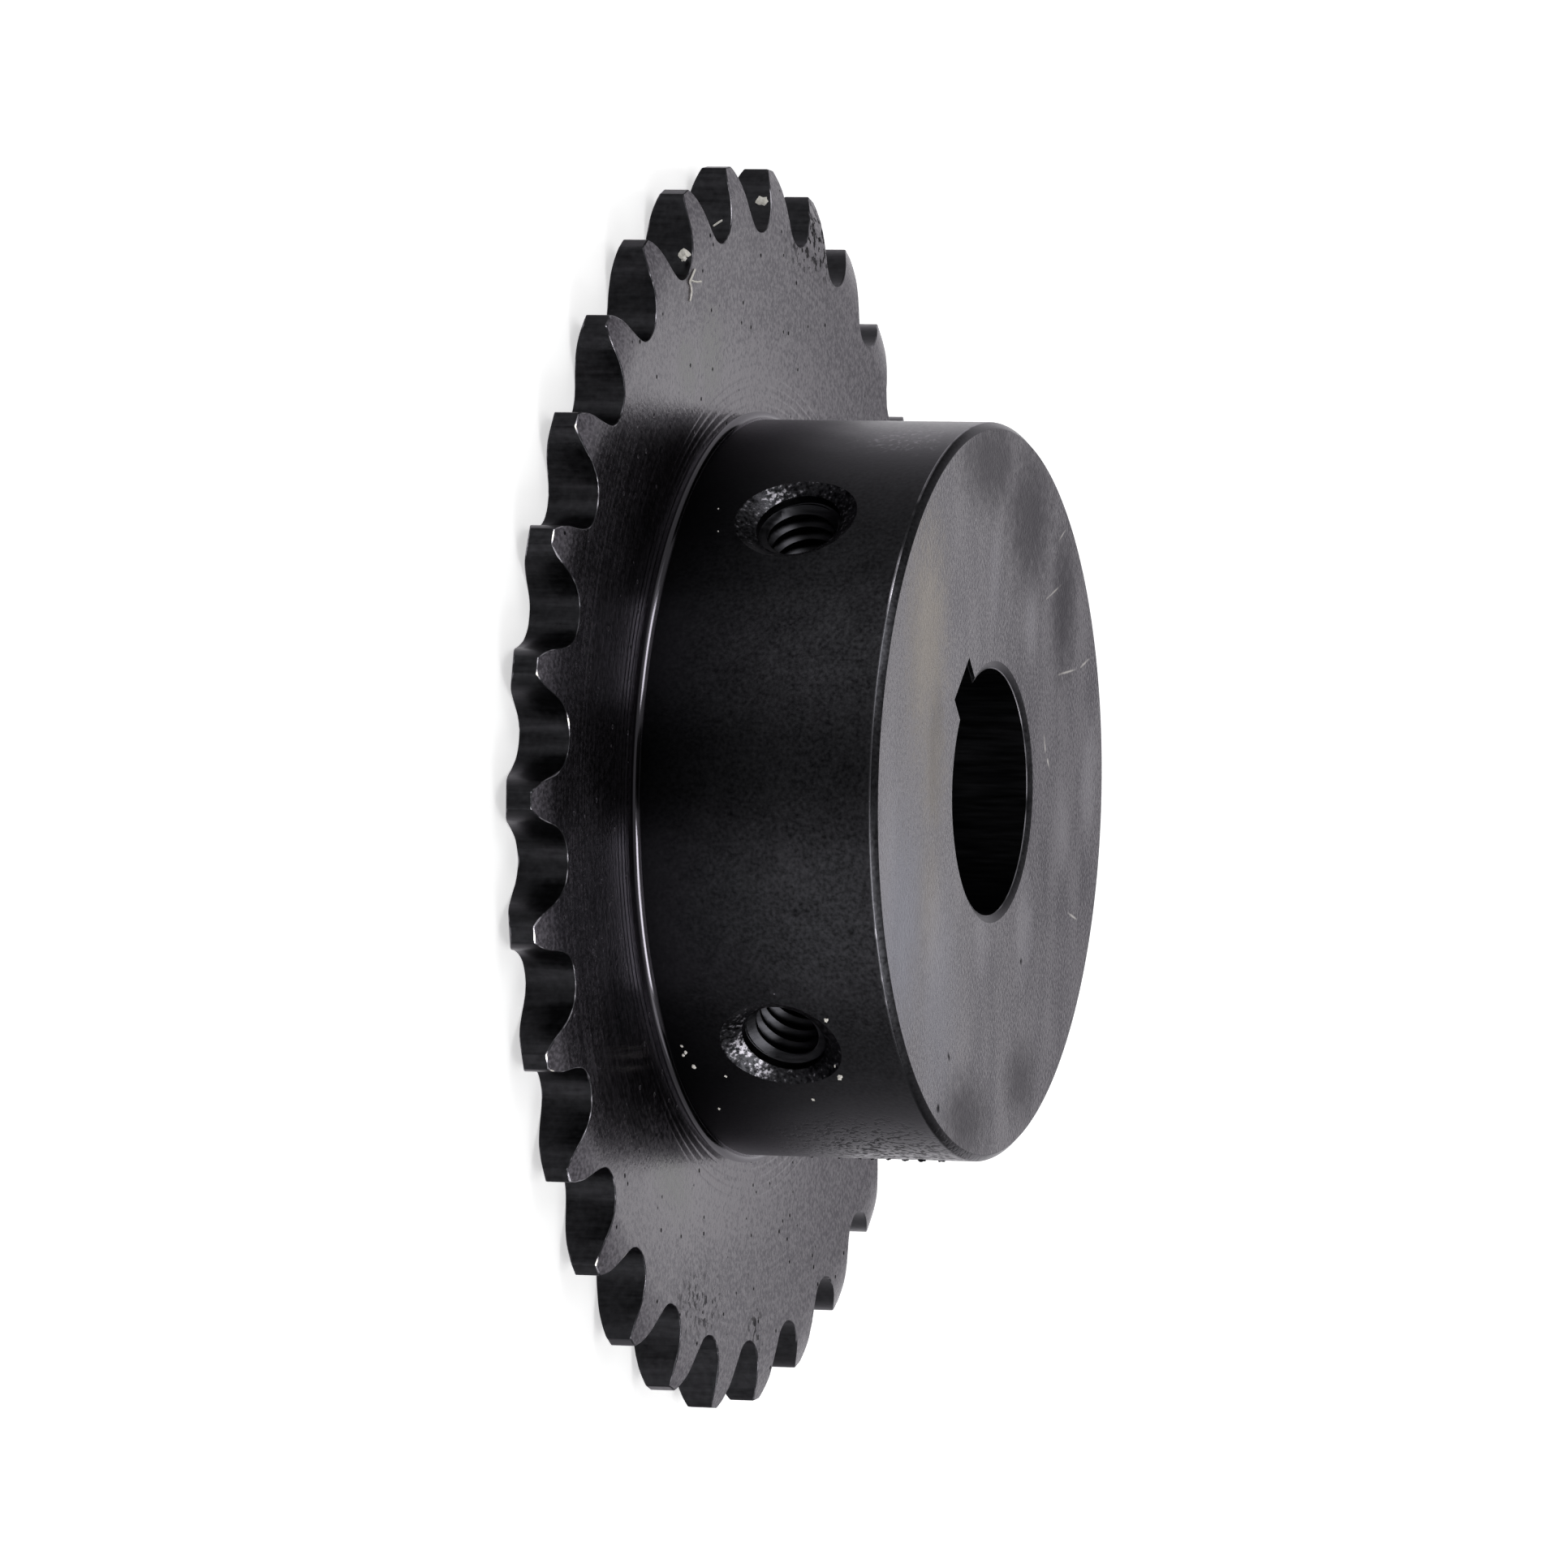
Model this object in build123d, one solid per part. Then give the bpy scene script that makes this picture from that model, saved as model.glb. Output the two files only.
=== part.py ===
from build123d import *
import os
from math import acos, atan2, cos, degrees, hypot, radians, sin, sqrt, tan

# Roller-chain sprocket with a hub on one side, turned and hobbed from one piece of steel.
# Frame: +Z runs along the bore from the flat back face to the hub's face, the origin is the
# bore's centre on the back face, and +X points at the keyway. All lengths are millimetres.

# Chain: single-strand roller chain of 3/8 in pitch.
PITCH = 9.525
ROLLER_DIAMETER = 5.08
TOOTH_COUNT = 30

# Tooth form: the seating curve is cut a little larger than the roller.
SEAT_SIZE_FACTOR = 1.005
SEAT_CLEARANCE = 0.0762
TIP_HEIGHT_FACTOR = 0.6

# Toothed plate. Its sides are rounded off towards the tooth tips, so that the chain finds them.
# The rounding starts a share of the pitch inside the tips.
PLATE_THICKNESS = 4.05
SIDE_ROUNDING_FACTOR = 0.5
SIDE_ROUNDING_WIDTH = 1.05

# Hub.
HUB_DIAMETER = 57.0
LENGTH_THROUGH_BORE = 23.4
HUB_EDGE_CHAMFER = 0.5
HUB_ROOT_FILLET = 0.6

# Bore and keyway. The keyway's depth is measured from the bore's wall.
BORE_DIAMETER = 19.05
BORE_CHAMFER_WIDTH = 0.575
BORE_CHAMFER_DEPTH = 0.28
KEYWAY_WIDTH = 4.76
KEYWAY_DEPTH = 2.38

# Set-screw holes for 1/4-20 screws, drilled to tapping size and countersunk.
# One stands over the keyway, the other a quarter turn on.
TAP_DRILL_DIAMETER = 5.1
COUNTERSINK_DIAMETER = 9.6
COUNTERSINK_ANGLE = 120.0
SCREW_HEIGHT = 13.6
SCREW_SPACING_ANGLE = 90.0
SCREW_COUNT = 2

# Room that a cutter runs past the surface it breaks through.
CUTTER_OVERRUN = 1.0

# Standard tooth proportions: the distances of the arcs' centres as shares of the roller's
# diameter, and the angles in degrees, each with a share that is divided by the number of teeth.
WORKING_CENTRE_FACTOR = 0.8
TOPPING_CENTRE_FACTOR = 1.4
SEAT_ANGLE = 35.0 + 60.0 / TOOTH_COUNT
WORKING_ANGLE = 18.0 - 56.0 / TOOTH_COUNT
FLANK_ANGLE = 17.0 - 64.0 / TOOTH_COUNT

# Sizes that follow from the ones above.
HALF_TOOTH_ANGLE = 180.0 / TOOTH_COUNT
PITCH_RADIUS = PITCH / sin(radians(HALF_TOOTH_ANGLE)) / 2
TIP_RADIUS = PITCH * (TIP_HEIGHT_FACTOR + 1 / tan(radians(HALF_TOOTH_ANGLE))) / 2
SEAT_RADIUS = (SEAT_SIZE_FACTOR * ROLLER_DIAMETER + SEAT_CLEARANCE) / 2
HUB_RADIUS = HUB_DIAMETER / 2
BORE_RADIUS = BORE_DIAMETER / 2
SIDE_ROUNDING_DEPTH = SIDE_ROUNDING_FACTOR * PITCH


def polar(radius, angle):
    """Point at a radius and an angle in degrees from +X."""
    return Vector(radius * cos(radians(angle)), radius * sin(radians(angle)))


def arc(centre, radius, start, end):
    """Counter-clockwise arc about a centre, between two angles in degrees."""
    return CenterArc(centre, radius, start, end - start)


def half_gap():
    """Curves of one side of a tooth gap, from its bottom to the middle of the tooth's tip.

    The gap's centre line is the +X axis, and the half lies on the +Y side of it.
    """
    roller = Vector(PITCH_RADIUS, 0)

    # Seating curve, under the roller.
    seat_end = 90 + SEAT_ANGLE
    seat = arc(roller, SEAT_RADIUS, seat_end, 180)

    # Working curve, which the roller rides up as the chain wears.
    working_centre = roller - polar(WORKING_CENTRE_FACTOR * ROLLER_DIAMETER, seat_end)
    working_radius = WORKING_CENTRE_FACTOR * ROLLER_DIAMETER + SEAT_RADIUS
    working_end = seat_end - WORKING_ANGLE
    working = arc(working_centre, working_radius, working_end, seat_end)

    # Straight flank, square to the working curve's last radius.
    outer_share = TOPPING_CENTRE_FACTOR * sin(radians(FLANK_ANGLE))
    inner_share = WORKING_CENTRE_FACTOR * sin(radians(WORKING_ANGLE))
    flank_length = (outer_share - inner_share) * ROLLER_DIAMETER
    flank_start = working_centre + polar(working_radius, working_end)
    flank_end = flank_start + polar(flank_length, working_end - 90)
    flank = Line(flank_start, flank_end)

    # Topping curve, which rounds the tooth over to its tip.
    topping_centre = roller + polar(TOPPING_CENTRE_FACTOR * ROLLER_DIAMETER, 90 + HALF_TOOTH_ANGLE)
    topping_radius = (flank_end - topping_centre).length
    topping_start = degrees(atan2(flank_end.Y - topping_centre.Y, flank_end.X - topping_centre.X))
    tip = tip_corner(topping_centre, topping_radius)
    topping_end = degrees(atan2(tip.Y - topping_centre.Y, tip.X - topping_centre.X))
    topping = arc(topping_centre, topping_radius, topping_start, topping_end)

    # Land at the tip, up to the middle of the tooth.
    land = arc(Vector(0, 0), tip.length, degrees(atan2(tip.Y, tip.X)), HALF_TOOTH_ANGLE)
    return [seat, working, flank, topping, land]


def tip_corner(topping_centre, topping_radius):
    """Point where a tooth's topping curve ends at the tip circle."""
    reach = hypot(topping_centre.X, topping_centre.Y)
    bearing = degrees(atan2(topping_centre.Y, topping_centre.X))
    cosine = (reach**2 + TIP_RADIUS**2 - topping_radius**2) / (2 * reach * TIP_RADIUS)
    return polar(TIP_RADIUS, bearing - degrees(acos(cosine)))


def tooth_outline():
    """Face bounded by all the teeth, with a tooth's middle on the +X axis."""
    half = half_gap()
    gap = half + [mirror(edge, about=Plane.XZ) for edge in half]
    turns = [(2 * tooth + 1) * HALF_TOOTH_ANGLE for tooth in range(TOOTH_COUNT)]
    return make_face([edge.rotate(Axis.Z, turn) for turn in turns for edge in gap])


def rim_point(beyond):
    """Point of the back side's rounding, at a distance beyond the tip circle."""
    radius = (SIDE_ROUNDING_DEPTH**2 + SIDE_ROUNDING_WIDTH**2) / (2 * SIDE_ROUNDING_WIDTH)
    rise = radius - sqrt(radius**2 - (SIDE_ROUNDING_DEPTH + beyond) ** 2)
    return (TIP_RADIUS + beyond, rise)


def blank_section():
    """Half section of the turned blank: the plate with its rounded rim, and the hub."""
    back = [(TIP_RADIUS - SIDE_ROUNDING_DEPTH, 0), rim_point(0), rim_point(CUTTER_OVERRUN)]
    front = [(x, PLATE_THICKNESS - z) for x, z in back]
    root = [
        (HUB_RADIUS + HUB_ROOT_FILLET, PLATE_THICKNESS),
        (HUB_RADIUS, PLATE_THICKNESS + HUB_ROOT_FILLET),
    ]
    edge = [
        (HUB_RADIUS, LENGTH_THROUGH_BORE - HUB_EDGE_CHAMFER),
        (HUB_RADIUS - HUB_EDGE_CHAMFER, LENGTH_THROUGH_BORE),
    ]
    with BuildSketch(Plane.XZ) as section:
        with BuildLine():
            Polyline((0, LENGTH_THROUGH_BORE), (0, 0), back[0])
            ThreePointArc(*back)
            Line(back[-1], front[-1])
            ThreePointArc(*front[::-1])
            Line(front[0], root[0])
            RadiusArc(*root, HUB_ROOT_FILLET)
            Polyline(root[1], *edge, (0, LENGTH_THROUGH_BORE))
        make_face()
    return section.sketch


def toothed_blank():
    """The blank with its tooth gaps hobbed through the rim."""
    turned = revolve(blank_section(), Axis.Z)
    teeth = extrude(tooth_outline(), PLATE_THICKNESS)
    hub = Pos(0, 0, LENGTH_THROUGH_BORE / 2) * Cylinder(
        HUB_RADIUS + HUB_ROOT_FILLET, LENGTH_THROUGH_BORE
    )
    return turned & (teeth + hub)


def bore_cutter():
    """Round bore with a chamfer at each end, and its keyway on the +X side."""
    mouth = BORE_RADIUS + BORE_CHAMFER_WIDTH
    with BuildSketch(Plane.XZ) as section:
        with BuildLine():
            Polyline(
                (0, 0),
                (mouth, 0),
                (BORE_RADIUS, BORE_CHAMFER_DEPTH),
                (BORE_RADIUS, LENGTH_THROUGH_BORE - BORE_CHAMFER_DEPTH),
                (mouth, LENGTH_THROUGH_BORE),
                (0, LENGTH_THROUGH_BORE),
                close=True,
            )
        make_face()
    keyway = Box(
        BORE_RADIUS + KEYWAY_DEPTH,
        KEYWAY_WIDTH,
        LENGTH_THROUGH_BORE,
        align=(Align.MIN, Align.CENTER, Align.MIN),
    )
    return revolve(section.sketch, Axis.Z) + keyway


def screw_hole_cutter():
    """Tapping-size hole along +X, from the bore out through a countersink."""
    drill_radius = TAP_DRILL_DIAMETER / 2
    mouth_radius = COUNTERSINK_DIAMETER / 2
    slope = tan(radians(COUNTERSINK_ANGLE / 2))
    sink_start = HUB_RADIUS - (mouth_radius - drill_radius) / slope
    outside = HUB_RADIUS + CUTTER_OVERRUN
    with BuildSketch(Plane.XZ) as section:
        with BuildLine():
            Polyline(
                (0, 0),
                (0, drill_radius),
                (sink_start, drill_radius),
                (outside, mouth_radius + CUTTER_OVERRUN * slope),
                (outside, 0),
                close=True,
            )
        make_face()
    return Pos(0, 0, SCREW_HEIGHT) * revolve(section.sketch, Axis.X)


def sprocket():
    """The finished sprocket."""
    body = toothed_blank() - bore_cutter()
    for screw in range(SCREW_COUNT):
        body -= Rot(0, 0, screw * SCREW_SPACING_ANGLE) * screw_hole_cutter()
    return body


os.makedirs("parts", exist_ok=True)
export_step(sprocket(), "parts/sprocket.step")
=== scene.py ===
"""Roller-chain sprocket in hot-blackened steel: its surfaces, the camera and a plain studio.

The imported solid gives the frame. The dressed sprocket replaces it with the same sizes, plus the
small things that a solid leaves out: broken edges, turned grooves and cut threads.
"""

import logging
import math
import random
from dataclasses import dataclass, field
from enum import IntEnum
from typing import Any

import bmesh
import bpy
import numpy as np
from mathutils import Matrix, Vector, noise

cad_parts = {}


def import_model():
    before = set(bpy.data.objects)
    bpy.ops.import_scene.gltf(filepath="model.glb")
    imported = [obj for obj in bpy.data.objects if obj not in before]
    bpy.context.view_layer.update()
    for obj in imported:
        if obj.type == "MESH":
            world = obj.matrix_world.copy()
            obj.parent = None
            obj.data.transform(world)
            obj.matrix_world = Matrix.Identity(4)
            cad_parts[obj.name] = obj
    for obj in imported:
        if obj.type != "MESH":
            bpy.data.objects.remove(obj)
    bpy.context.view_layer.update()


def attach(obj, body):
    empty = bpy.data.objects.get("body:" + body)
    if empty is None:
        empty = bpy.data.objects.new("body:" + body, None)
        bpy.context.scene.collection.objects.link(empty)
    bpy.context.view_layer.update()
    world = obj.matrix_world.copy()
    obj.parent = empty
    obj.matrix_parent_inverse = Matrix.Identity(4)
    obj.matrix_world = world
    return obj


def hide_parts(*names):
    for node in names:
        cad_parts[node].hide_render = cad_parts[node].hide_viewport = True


LOG = logging.getLogger("sprocket")
MM = 0.001
WEAR = "wear"
Point = tuple[float, float, float]
Colour = tuple[float, float, float, float]
WHITE = (1.0, 1.0, 1.0, 1.0)

# Sizes that several pieces share, in millimetres.
HUB_RADIUS = 28.5
LENGTH = 23.4


class Surface(IntEnum):
    """The surfaces of the sprocket, as the machine tools left them."""

    PLATE_FACE = 0
    TOOTH_SIDE = 1
    TOOTH_FLANK = 2
    TOOTH_EDGE = 3
    HUB_ROOT = 4
    HUB_WALL = 5
    HUB_EDGE = 6
    HUB_FACE = 7
    BORE = 8
    COUNTERSINK = 9
    THREAD = 10
    HUB_CORNER = 11
    BORE_MOUTH = 12
    BORE_CORNER = 13


def add_object(
    name: str, data: bpy.types.ID, *materials: bpy.types.Material
) -> bpy.types.Object:
    """Adds an object to the scene.

    Args:
        name: of the object.
        data: that it shows.
        materials: that are added to its data's slots.

    Returns:
        The object.
    """
    for material in materials:
        data.materials.append(material)
    made = bpy.data.objects.new(name, data)
    bpy.context.scene.collection.objects.link(made)
    return made


# ---------------------------------------------------------------------------------------- camera


@dataclass
class Camera:
    """A long lens that looks along the plate at a low angle, turned so that the bore lies level.

    Args:
        distance: from the aimed point to the lens, in millimetres.
        elevation: of the line of sight above the plate, in degrees.
        roll: of the picture about the line of sight, in degrees.
        bearing: of the keyway, from the direction away from the camera, in degrees.
        offset: of the aimed point from the picture's middle, in millimetres.
        aim_height: of the aimed point over the back face, in millimetres.
        lens: focal length for a sensor 36 mm wide.
    """

    distance: float = 1054.24
    elevation: float = 18.791
    roll: float = 1.1721
    bearing: float = 133.587
    offset: tuple[float, float] = (5.2913, -0.3962)
    aim_height: float = 12.0
    lens: float = 313.04

    def bearing_from(self, bearing: float) -> float:
        """Turns a bearing counted from the camera, in degrees, to the part's own, in radians."""
        return math.radians(180 - self.bearing + bearing)

    def place(self) -> None:
        """Adds the camera to the scene."""
        rise, roll = math.radians(self.elevation), math.radians(self.roll)
        back = Vector((-math.cos(rise), 0, math.sin(rise)))
        level = Vector((math.sin(rise), 0, math.cos(rise)))
        side = Vector((0, 1, 0))
        right = math.cos(roll) * level + math.sin(roll) * side
        up = math.cos(roll) * side - math.sin(roll) * level
        spot = Vector((0, 0, self.aim_height)) + self.distance * back
        spot -= self.offset[0] * right + self.offset[1] * up
        turn = Matrix.Rotation(-math.radians(self.bearing), 4, "Z")
        axes = Matrix((right, up, back)).transposed().to_4x4()
        data = bpy.data.cameras.new("camera")
        data.lens = self.lens
        data.sensor_width = 36
        camera = add_object("camera", data)
        camera.matrix_world = turn @ Matrix.Translation(spot * MM) @ axes
        bpy.context.scene.camera = camera


# ------------------------------------------------------------------------------------- materials


def linear(colour: str) -> Colour:
    """Turns an sRGB hex colour to linear light.

    Args:
        colour: such as "#1a1a1c".

    Returns:
        Red, green, blue and alpha, from 0 to 1.
    """
    parts = [int(colour[i : i + 2], 16) / 255 for i in (1, 3, 5)]
    light = [c / 12.92 if c <= 0.04045 else ((c + 0.055) / 1.055) ** 2.4 for c in parts]
    return (light[0], light[1], light[2], 1.0)


class Nodes:
    """A node tree that is being built."""

    def __init__(self, tree: bpy.types.NodeTree) -> None:
        """Empties the tree."""
        tree.nodes.clear()
        self.tree = tree

    def add(self, kind: str, *ordered: Any, **named: Any) -> bpy.types.Node:
        """Adds a node with its settings and links.

        Args:
            kind: the node's type, such as "Math".
            ordered: a value, an output or a node for each input in use, from the first on. A node
                stands for its first output in use.
            named: the same for inputs by name, with "_" for a space, and the node's own settings,
                which are all in small letters.

        Returns:
            The new node.
        """
        node = self.tree.nodes.new("ShaderNode" + kind)
        for name, value in named.items():
            if name.islower():
                setattr(node, name, value)
        used = [socket for socket in node.inputs if socket.enabled]
        chosen = list(zip(used, ordered))
        for name, value in named.items():
            if not name.islower():
                chosen.append((next(s for s in used if s.name == name.replace("_", " ")), value))
        for socket, value in chosen:
            if isinstance(value, bpy.types.Node):
                value = next(output for output in value.outputs if output.enabled)
            if isinstance(value, bpy.types.NodeSocket):
                self.tree.links.new(value, socket)
            else:
                socket.default_value = value
        return node

    def seen(self) -> bpy.types.Node:
        """Finds whether a ray comes from the lens, straight or by way of a gloss or a glass.

        Returns:
            1 where it does and 0 elsewhere.
        """
        path = self.add("LightPath")
        shown = path.outputs["Is Camera Ray"]
        for other in ("Is Glossy Ray", "Is Transmission Ray"):
            shown = self.add("Math", shown, path.outputs[other], operation="MAXIMUM")
        return shown


# A smooth step from one limit to the other.
SMOOTH = {"interpolation_type": "SMOOTHSTEP"}


@dataclass(frozen=True)
class Skin:
    """Hot black oxide on steel, in one state.

    The bath turns the steel's skin to black magnetite, which takes in all the light that its gloss
    doesn't throw back: weak and bluish face on, strong at a grazing angle.

    Args:
        colour: of the gloss face on.
        grazing: tint of the gloss at a grazing angle.
    """

    colour: Colour
    grazing: Colour


# Where oil lies on the faces the gloss is stronger. On walls, gullets and bores it has drained
# into the porous oxide, and leaves them a deeper black.
OILED = Skin(linear("#2b2a2d"), (0.976, 0.954, 1.0, 1.0))
DRAINED = Skin(linear("#222224"), (0.84, 0.825, 0.86, 1.0))
# The skin on the two faces, from its dullest to its most rubbed grain, and in its films.
DULL = Skin(linear("#343236"), (0.86, 0.845, 0.88, 1.0))
RUBBED = Skin(linear("#514e54"), (1.0, 0.985, 1.0, 1.0))
DUSTY = Skin(linear("#363439"), (0.7, 0.69, 0.705, 1.0))
FILMED = Skin(linear("#5e5a56"), (1.0, 0.955, 0.92, 1.0))
BLUED = Skin(linear("#56565f"), (0.95, 0.95, 1.0, 1.0))

THIN_OXIDE = linear("#49464b")
THICK_OXIDE = linear("#070708")
OIL_HAZE = linear("#343036")
BARE_STEEL = linear("#c9c5bf")
RUBBED_STEEL = linear("#6f6d72")


@dataclass(frozen=True)
class Patch:
    """A soft-edged mark at its place on the part, in millimetres.

    Args:
        centre: of the mark.
        reach: half lengths of the mark along its own axes.
        turn: of the mark about the bore's direction, in degrees.
        ragged: share by which its edge wanders.
        share: of the mark's full strength.
    """

    centre: Point
    reach: Point
    turn: float = 0.0
    ragged: float = 0.5
    share: float = 1.0


# The way that the hub's face was wiped, in degrees from the keyway.
WIPED = -43.6


def on_face(*marks: tuple[float, ...]) -> tuple[Patch, ...]:
    """Makes patches on the hub's face.

    Args:
        marks: place, half length and half width, ragged, share and, for one that doesn't lie the
            way the face was wiped, its turn.

    Returns:
        The patches.
    """
    return tuple(
        Patch((x, y, LENGTH), (along, across, 3.0), turn[0] if turn else WIPED, ragged, share)
        for x, y, along, across, ragged, share, *turn in marks
    )


class Ground(Nodes):
    """The node tree of one finish, with the marks of machining and use laid out in millimetres."""

    def __init__(self, tree: bpy.types.NodeTree) -> None:
        """Finds the place of each point, in millimetres of the part's own frame.

        Args:
            tree: of the finish.
        """
        super().__init__(tree)
        spot = self.add("TexCoord").outputs["Object"]
        self.place = self.add("VectorMath", spot, 1 / MM, operation="SCALE")
        flat = self.add("VectorMath", self.place, (1.0, 1.0, 0.0), operation="MULTIPLY")
        self.radius = self.add("VectorMath", flat, operation="LENGTH")
        parts = self.add("SeparateXYZ", self.place)
        self.across, self.aside, self.height = parts.outputs

    def turned(self, length: float, feed: float) -> bpy.types.Node:
        """Noise drawn out round the bore, as a lathe tool leaves its marks.

        Args:
            length: of a mark round the bore, at 20 mm from its axis.
            feed: of the tool from one mark to the next.

        Returns:
            The noise, from 0 to 1.
        """
        bearing = self.add("Math", self.aside, self.across, operation="ARCTAN2")
        along = self.add("Math", bearing, 20 / length, operation="MULTIPLY")
        across = self.add("Math", self.radius, self.height, operation="ADD")
        across = self.add("Math", across, feed, operation="DIVIDE")
        spot = self.add("CombineXYZ", along, across)
        return self.add("TexNoise", spot, Scale=1.0, Detail=2.0)

    def drawn(self, across: float, along: float, detail: float) -> bpy.types.Node:
        """Noise drawn out along the bore, as a hob, a reamer or a tap leaves its scores.

        Args:
            across: scores in a millimetre across them.
            along: scores in a millimetre along the bore.
            detail: octaves of finer noise.

        Returns:
            The noise, from 0 to 1.
        """
        spot = self.add("VectorMath", self.place, (across, across, along), operation="MULTIPLY")
        return self.add("TexNoise", spot, Scale=1.0, Detail=detail)

    def speckle(self, size: float) -> bpy.types.Node:
        """Even noise, as the bath's etching leaves, its coarsest spots so many millimetres big."""
        return self.add("TexNoise", self.place, Scale=1 / size, Detail=3.0)

    def pits(self, spacing: float, size: float, share: float) -> bpy.types.Node:
        """Round pits, scattered at random.

        Args:
            spacing: of the places where a pit may be.
            size: radius of a pit, in the same unit.
            share: of the places that hold one.

        Returns:
            The mask, 1 in a pit and 0 elsewhere.
        """
        cells = self.add("TexVoronoi", self.place, Scale=1 / spacing)
        draw = self.add("SeparateXYZ", cells.outputs["Color"])
        held = self.add("Math", draw.outputs["X"], share, operation="LESS_THAN")
        limits = (size / spacing, 0.5 * size / spacing)
        disc = self.add("MapRange", cells.outputs["Distance"], *limits, **SMOOTH)
        return self.add("Math", disc, held, operation="MULTIPLY")

    def patches(self, marks: tuple[Patch, ...]) -> bpy.types.Node:
        """Soft-edged marks at their places.

        Args:
            marks: the marks.

        Returns:
            The mask, from the share of each mark inside it to 0 elsewhere.
        """
        wander = self.add("TexNoise", self.place, Scale=1.3, Detail=3.0)
        total = None
        for mark in marks:
            inside = self.add(
                "Mapping",
                self.place,
                mark.centre,
                (0.0, 0.0, math.radians(mark.turn)),
                mark.reach,
                vector_type="TEXTURE",
            )
            far = self.add("VectorMath", inside, operation="LENGTH")
            shift = self.add("Math", wander, mark.ragged, far, operation="MULTIPLY_ADD")
            limits = (1 + 0.5 * mark.ragged, 0.1 + 0.5 * mark.ragged, 0.0, mark.share)
            mask = self.add("MapRange", shift, *limits, **SMOOTH)
            total = self.add("Math", total, mask, operation="MAXIMUM") if total else mask
        return total

    def spots(
        self, layer: bpy.types.Node, start: float, full: float, marks: bpy.types.Node
    ) -> bpy.types.Node:
        """Spots inside marks, from where a noise starts to pass a level to where they're full."""
        spots = self.add("MapRange", layer, start, full, **SMOOTH)
        return self.add("Math", spots, marks, operation="MULTIPLY")

    def vary(
        self,
        layers: dict[bpy.types.Node, float],
        middle: Any,
        marks: dict[bpy.types.Node, float] | None = None,
    ) -> bpy.types.Node:
        """Adds noises to a level, which they leave the same on average, and marks, which raise it.

        Args:
            layers: the share of each noise.
            middle: the level.
            marks: how much each mark adds.

        Returns:
            The sum.
        """
        level = middle
        for layer, share in layers.items():
            level = self.add("Math", level, -0.5 * share, operation="ADD")
            level = self.add("Math", layer, share, level, operation="MULTIPLY_ADD")
        for mark, rise in (marks or {}).items():
            level = self.add("Math", mark, rise, level, operation="MULTIPLY_ADD")
        return level

    def mixed(self, share: Any, first: Any, second: Any) -> bpy.types.Node:
        """Mixes a share of the second colour into the first."""
        return self.add("Mix", share, first, second, data_type="RGBA")

    def blend(self, share: Any, first: Skin, second: Skin) -> Skin:
        """Mixes a share of the second skin into the first."""
        colour = self.mixed(share, first.colour, second.colour)
        return Skin(colour, self.mixed(share, first.grazing, second.grazing))

    def coat(
        self, skin: Skin, relief: dict[bpy.types.Node, float], lay: float = 0.0, **inputs: Any
    ) -> None:
        """Ends the tree in its shader.

        Args:
            skin: the plain skin, whose colours the inputs may replace.
            relief: how far each noise stands out of the surface, in millimetres, less than 0 for
                pits.
            lay: how much sharper the gloss is along the tool marks than across them.
            inputs: of the shader, by name.
        """
        plain = {"Metallic": 1.0, "Base_Color": skin.colour, "Specular_Tint": skin.grazing}
        inputs = plain | inputs
        bump = {}
        for layer, height in relief.items():
            bump |= {"Height": layer, "Distance": abs(height) * MM, "Strength": 1.0}
            bump["Normal"] = inputs["Normal"] = self.add("Bump", invert=height < 0, **bump)
        if lay:
            inputs["Tangent"] = self.add("Tangent", direction_type="RADIAL", axis="Z")
            inputs |= {"Anisotropic": lay, "Anisotropic_Rotation": 0.25}
        shader = self.add("BsdfPrincipled", **inputs)
        self.add("OutputMaterial", Surface=shader)


@dataclass(frozen=True)
class Finish:
    """A finish that the part has in one place or another."""

    name: str

    def material(self) -> bpy.types.Material:
        """Makes the material.

        Returns:
            The new material.
        """
        made = bpy.data.materials.new(self.name)
        made.use_nodes = True
        self.dress(Ground(made.node_tree))
        LOG.info("%s: %d nodes", self.name, len(made.node_tree.nodes))
        return made

    def dress(self, ground: Ground) -> None:
        """Adds the finish's nodes.

        Args:
            ground: that takes them.
        """
        raise NotImplementedError


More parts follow.
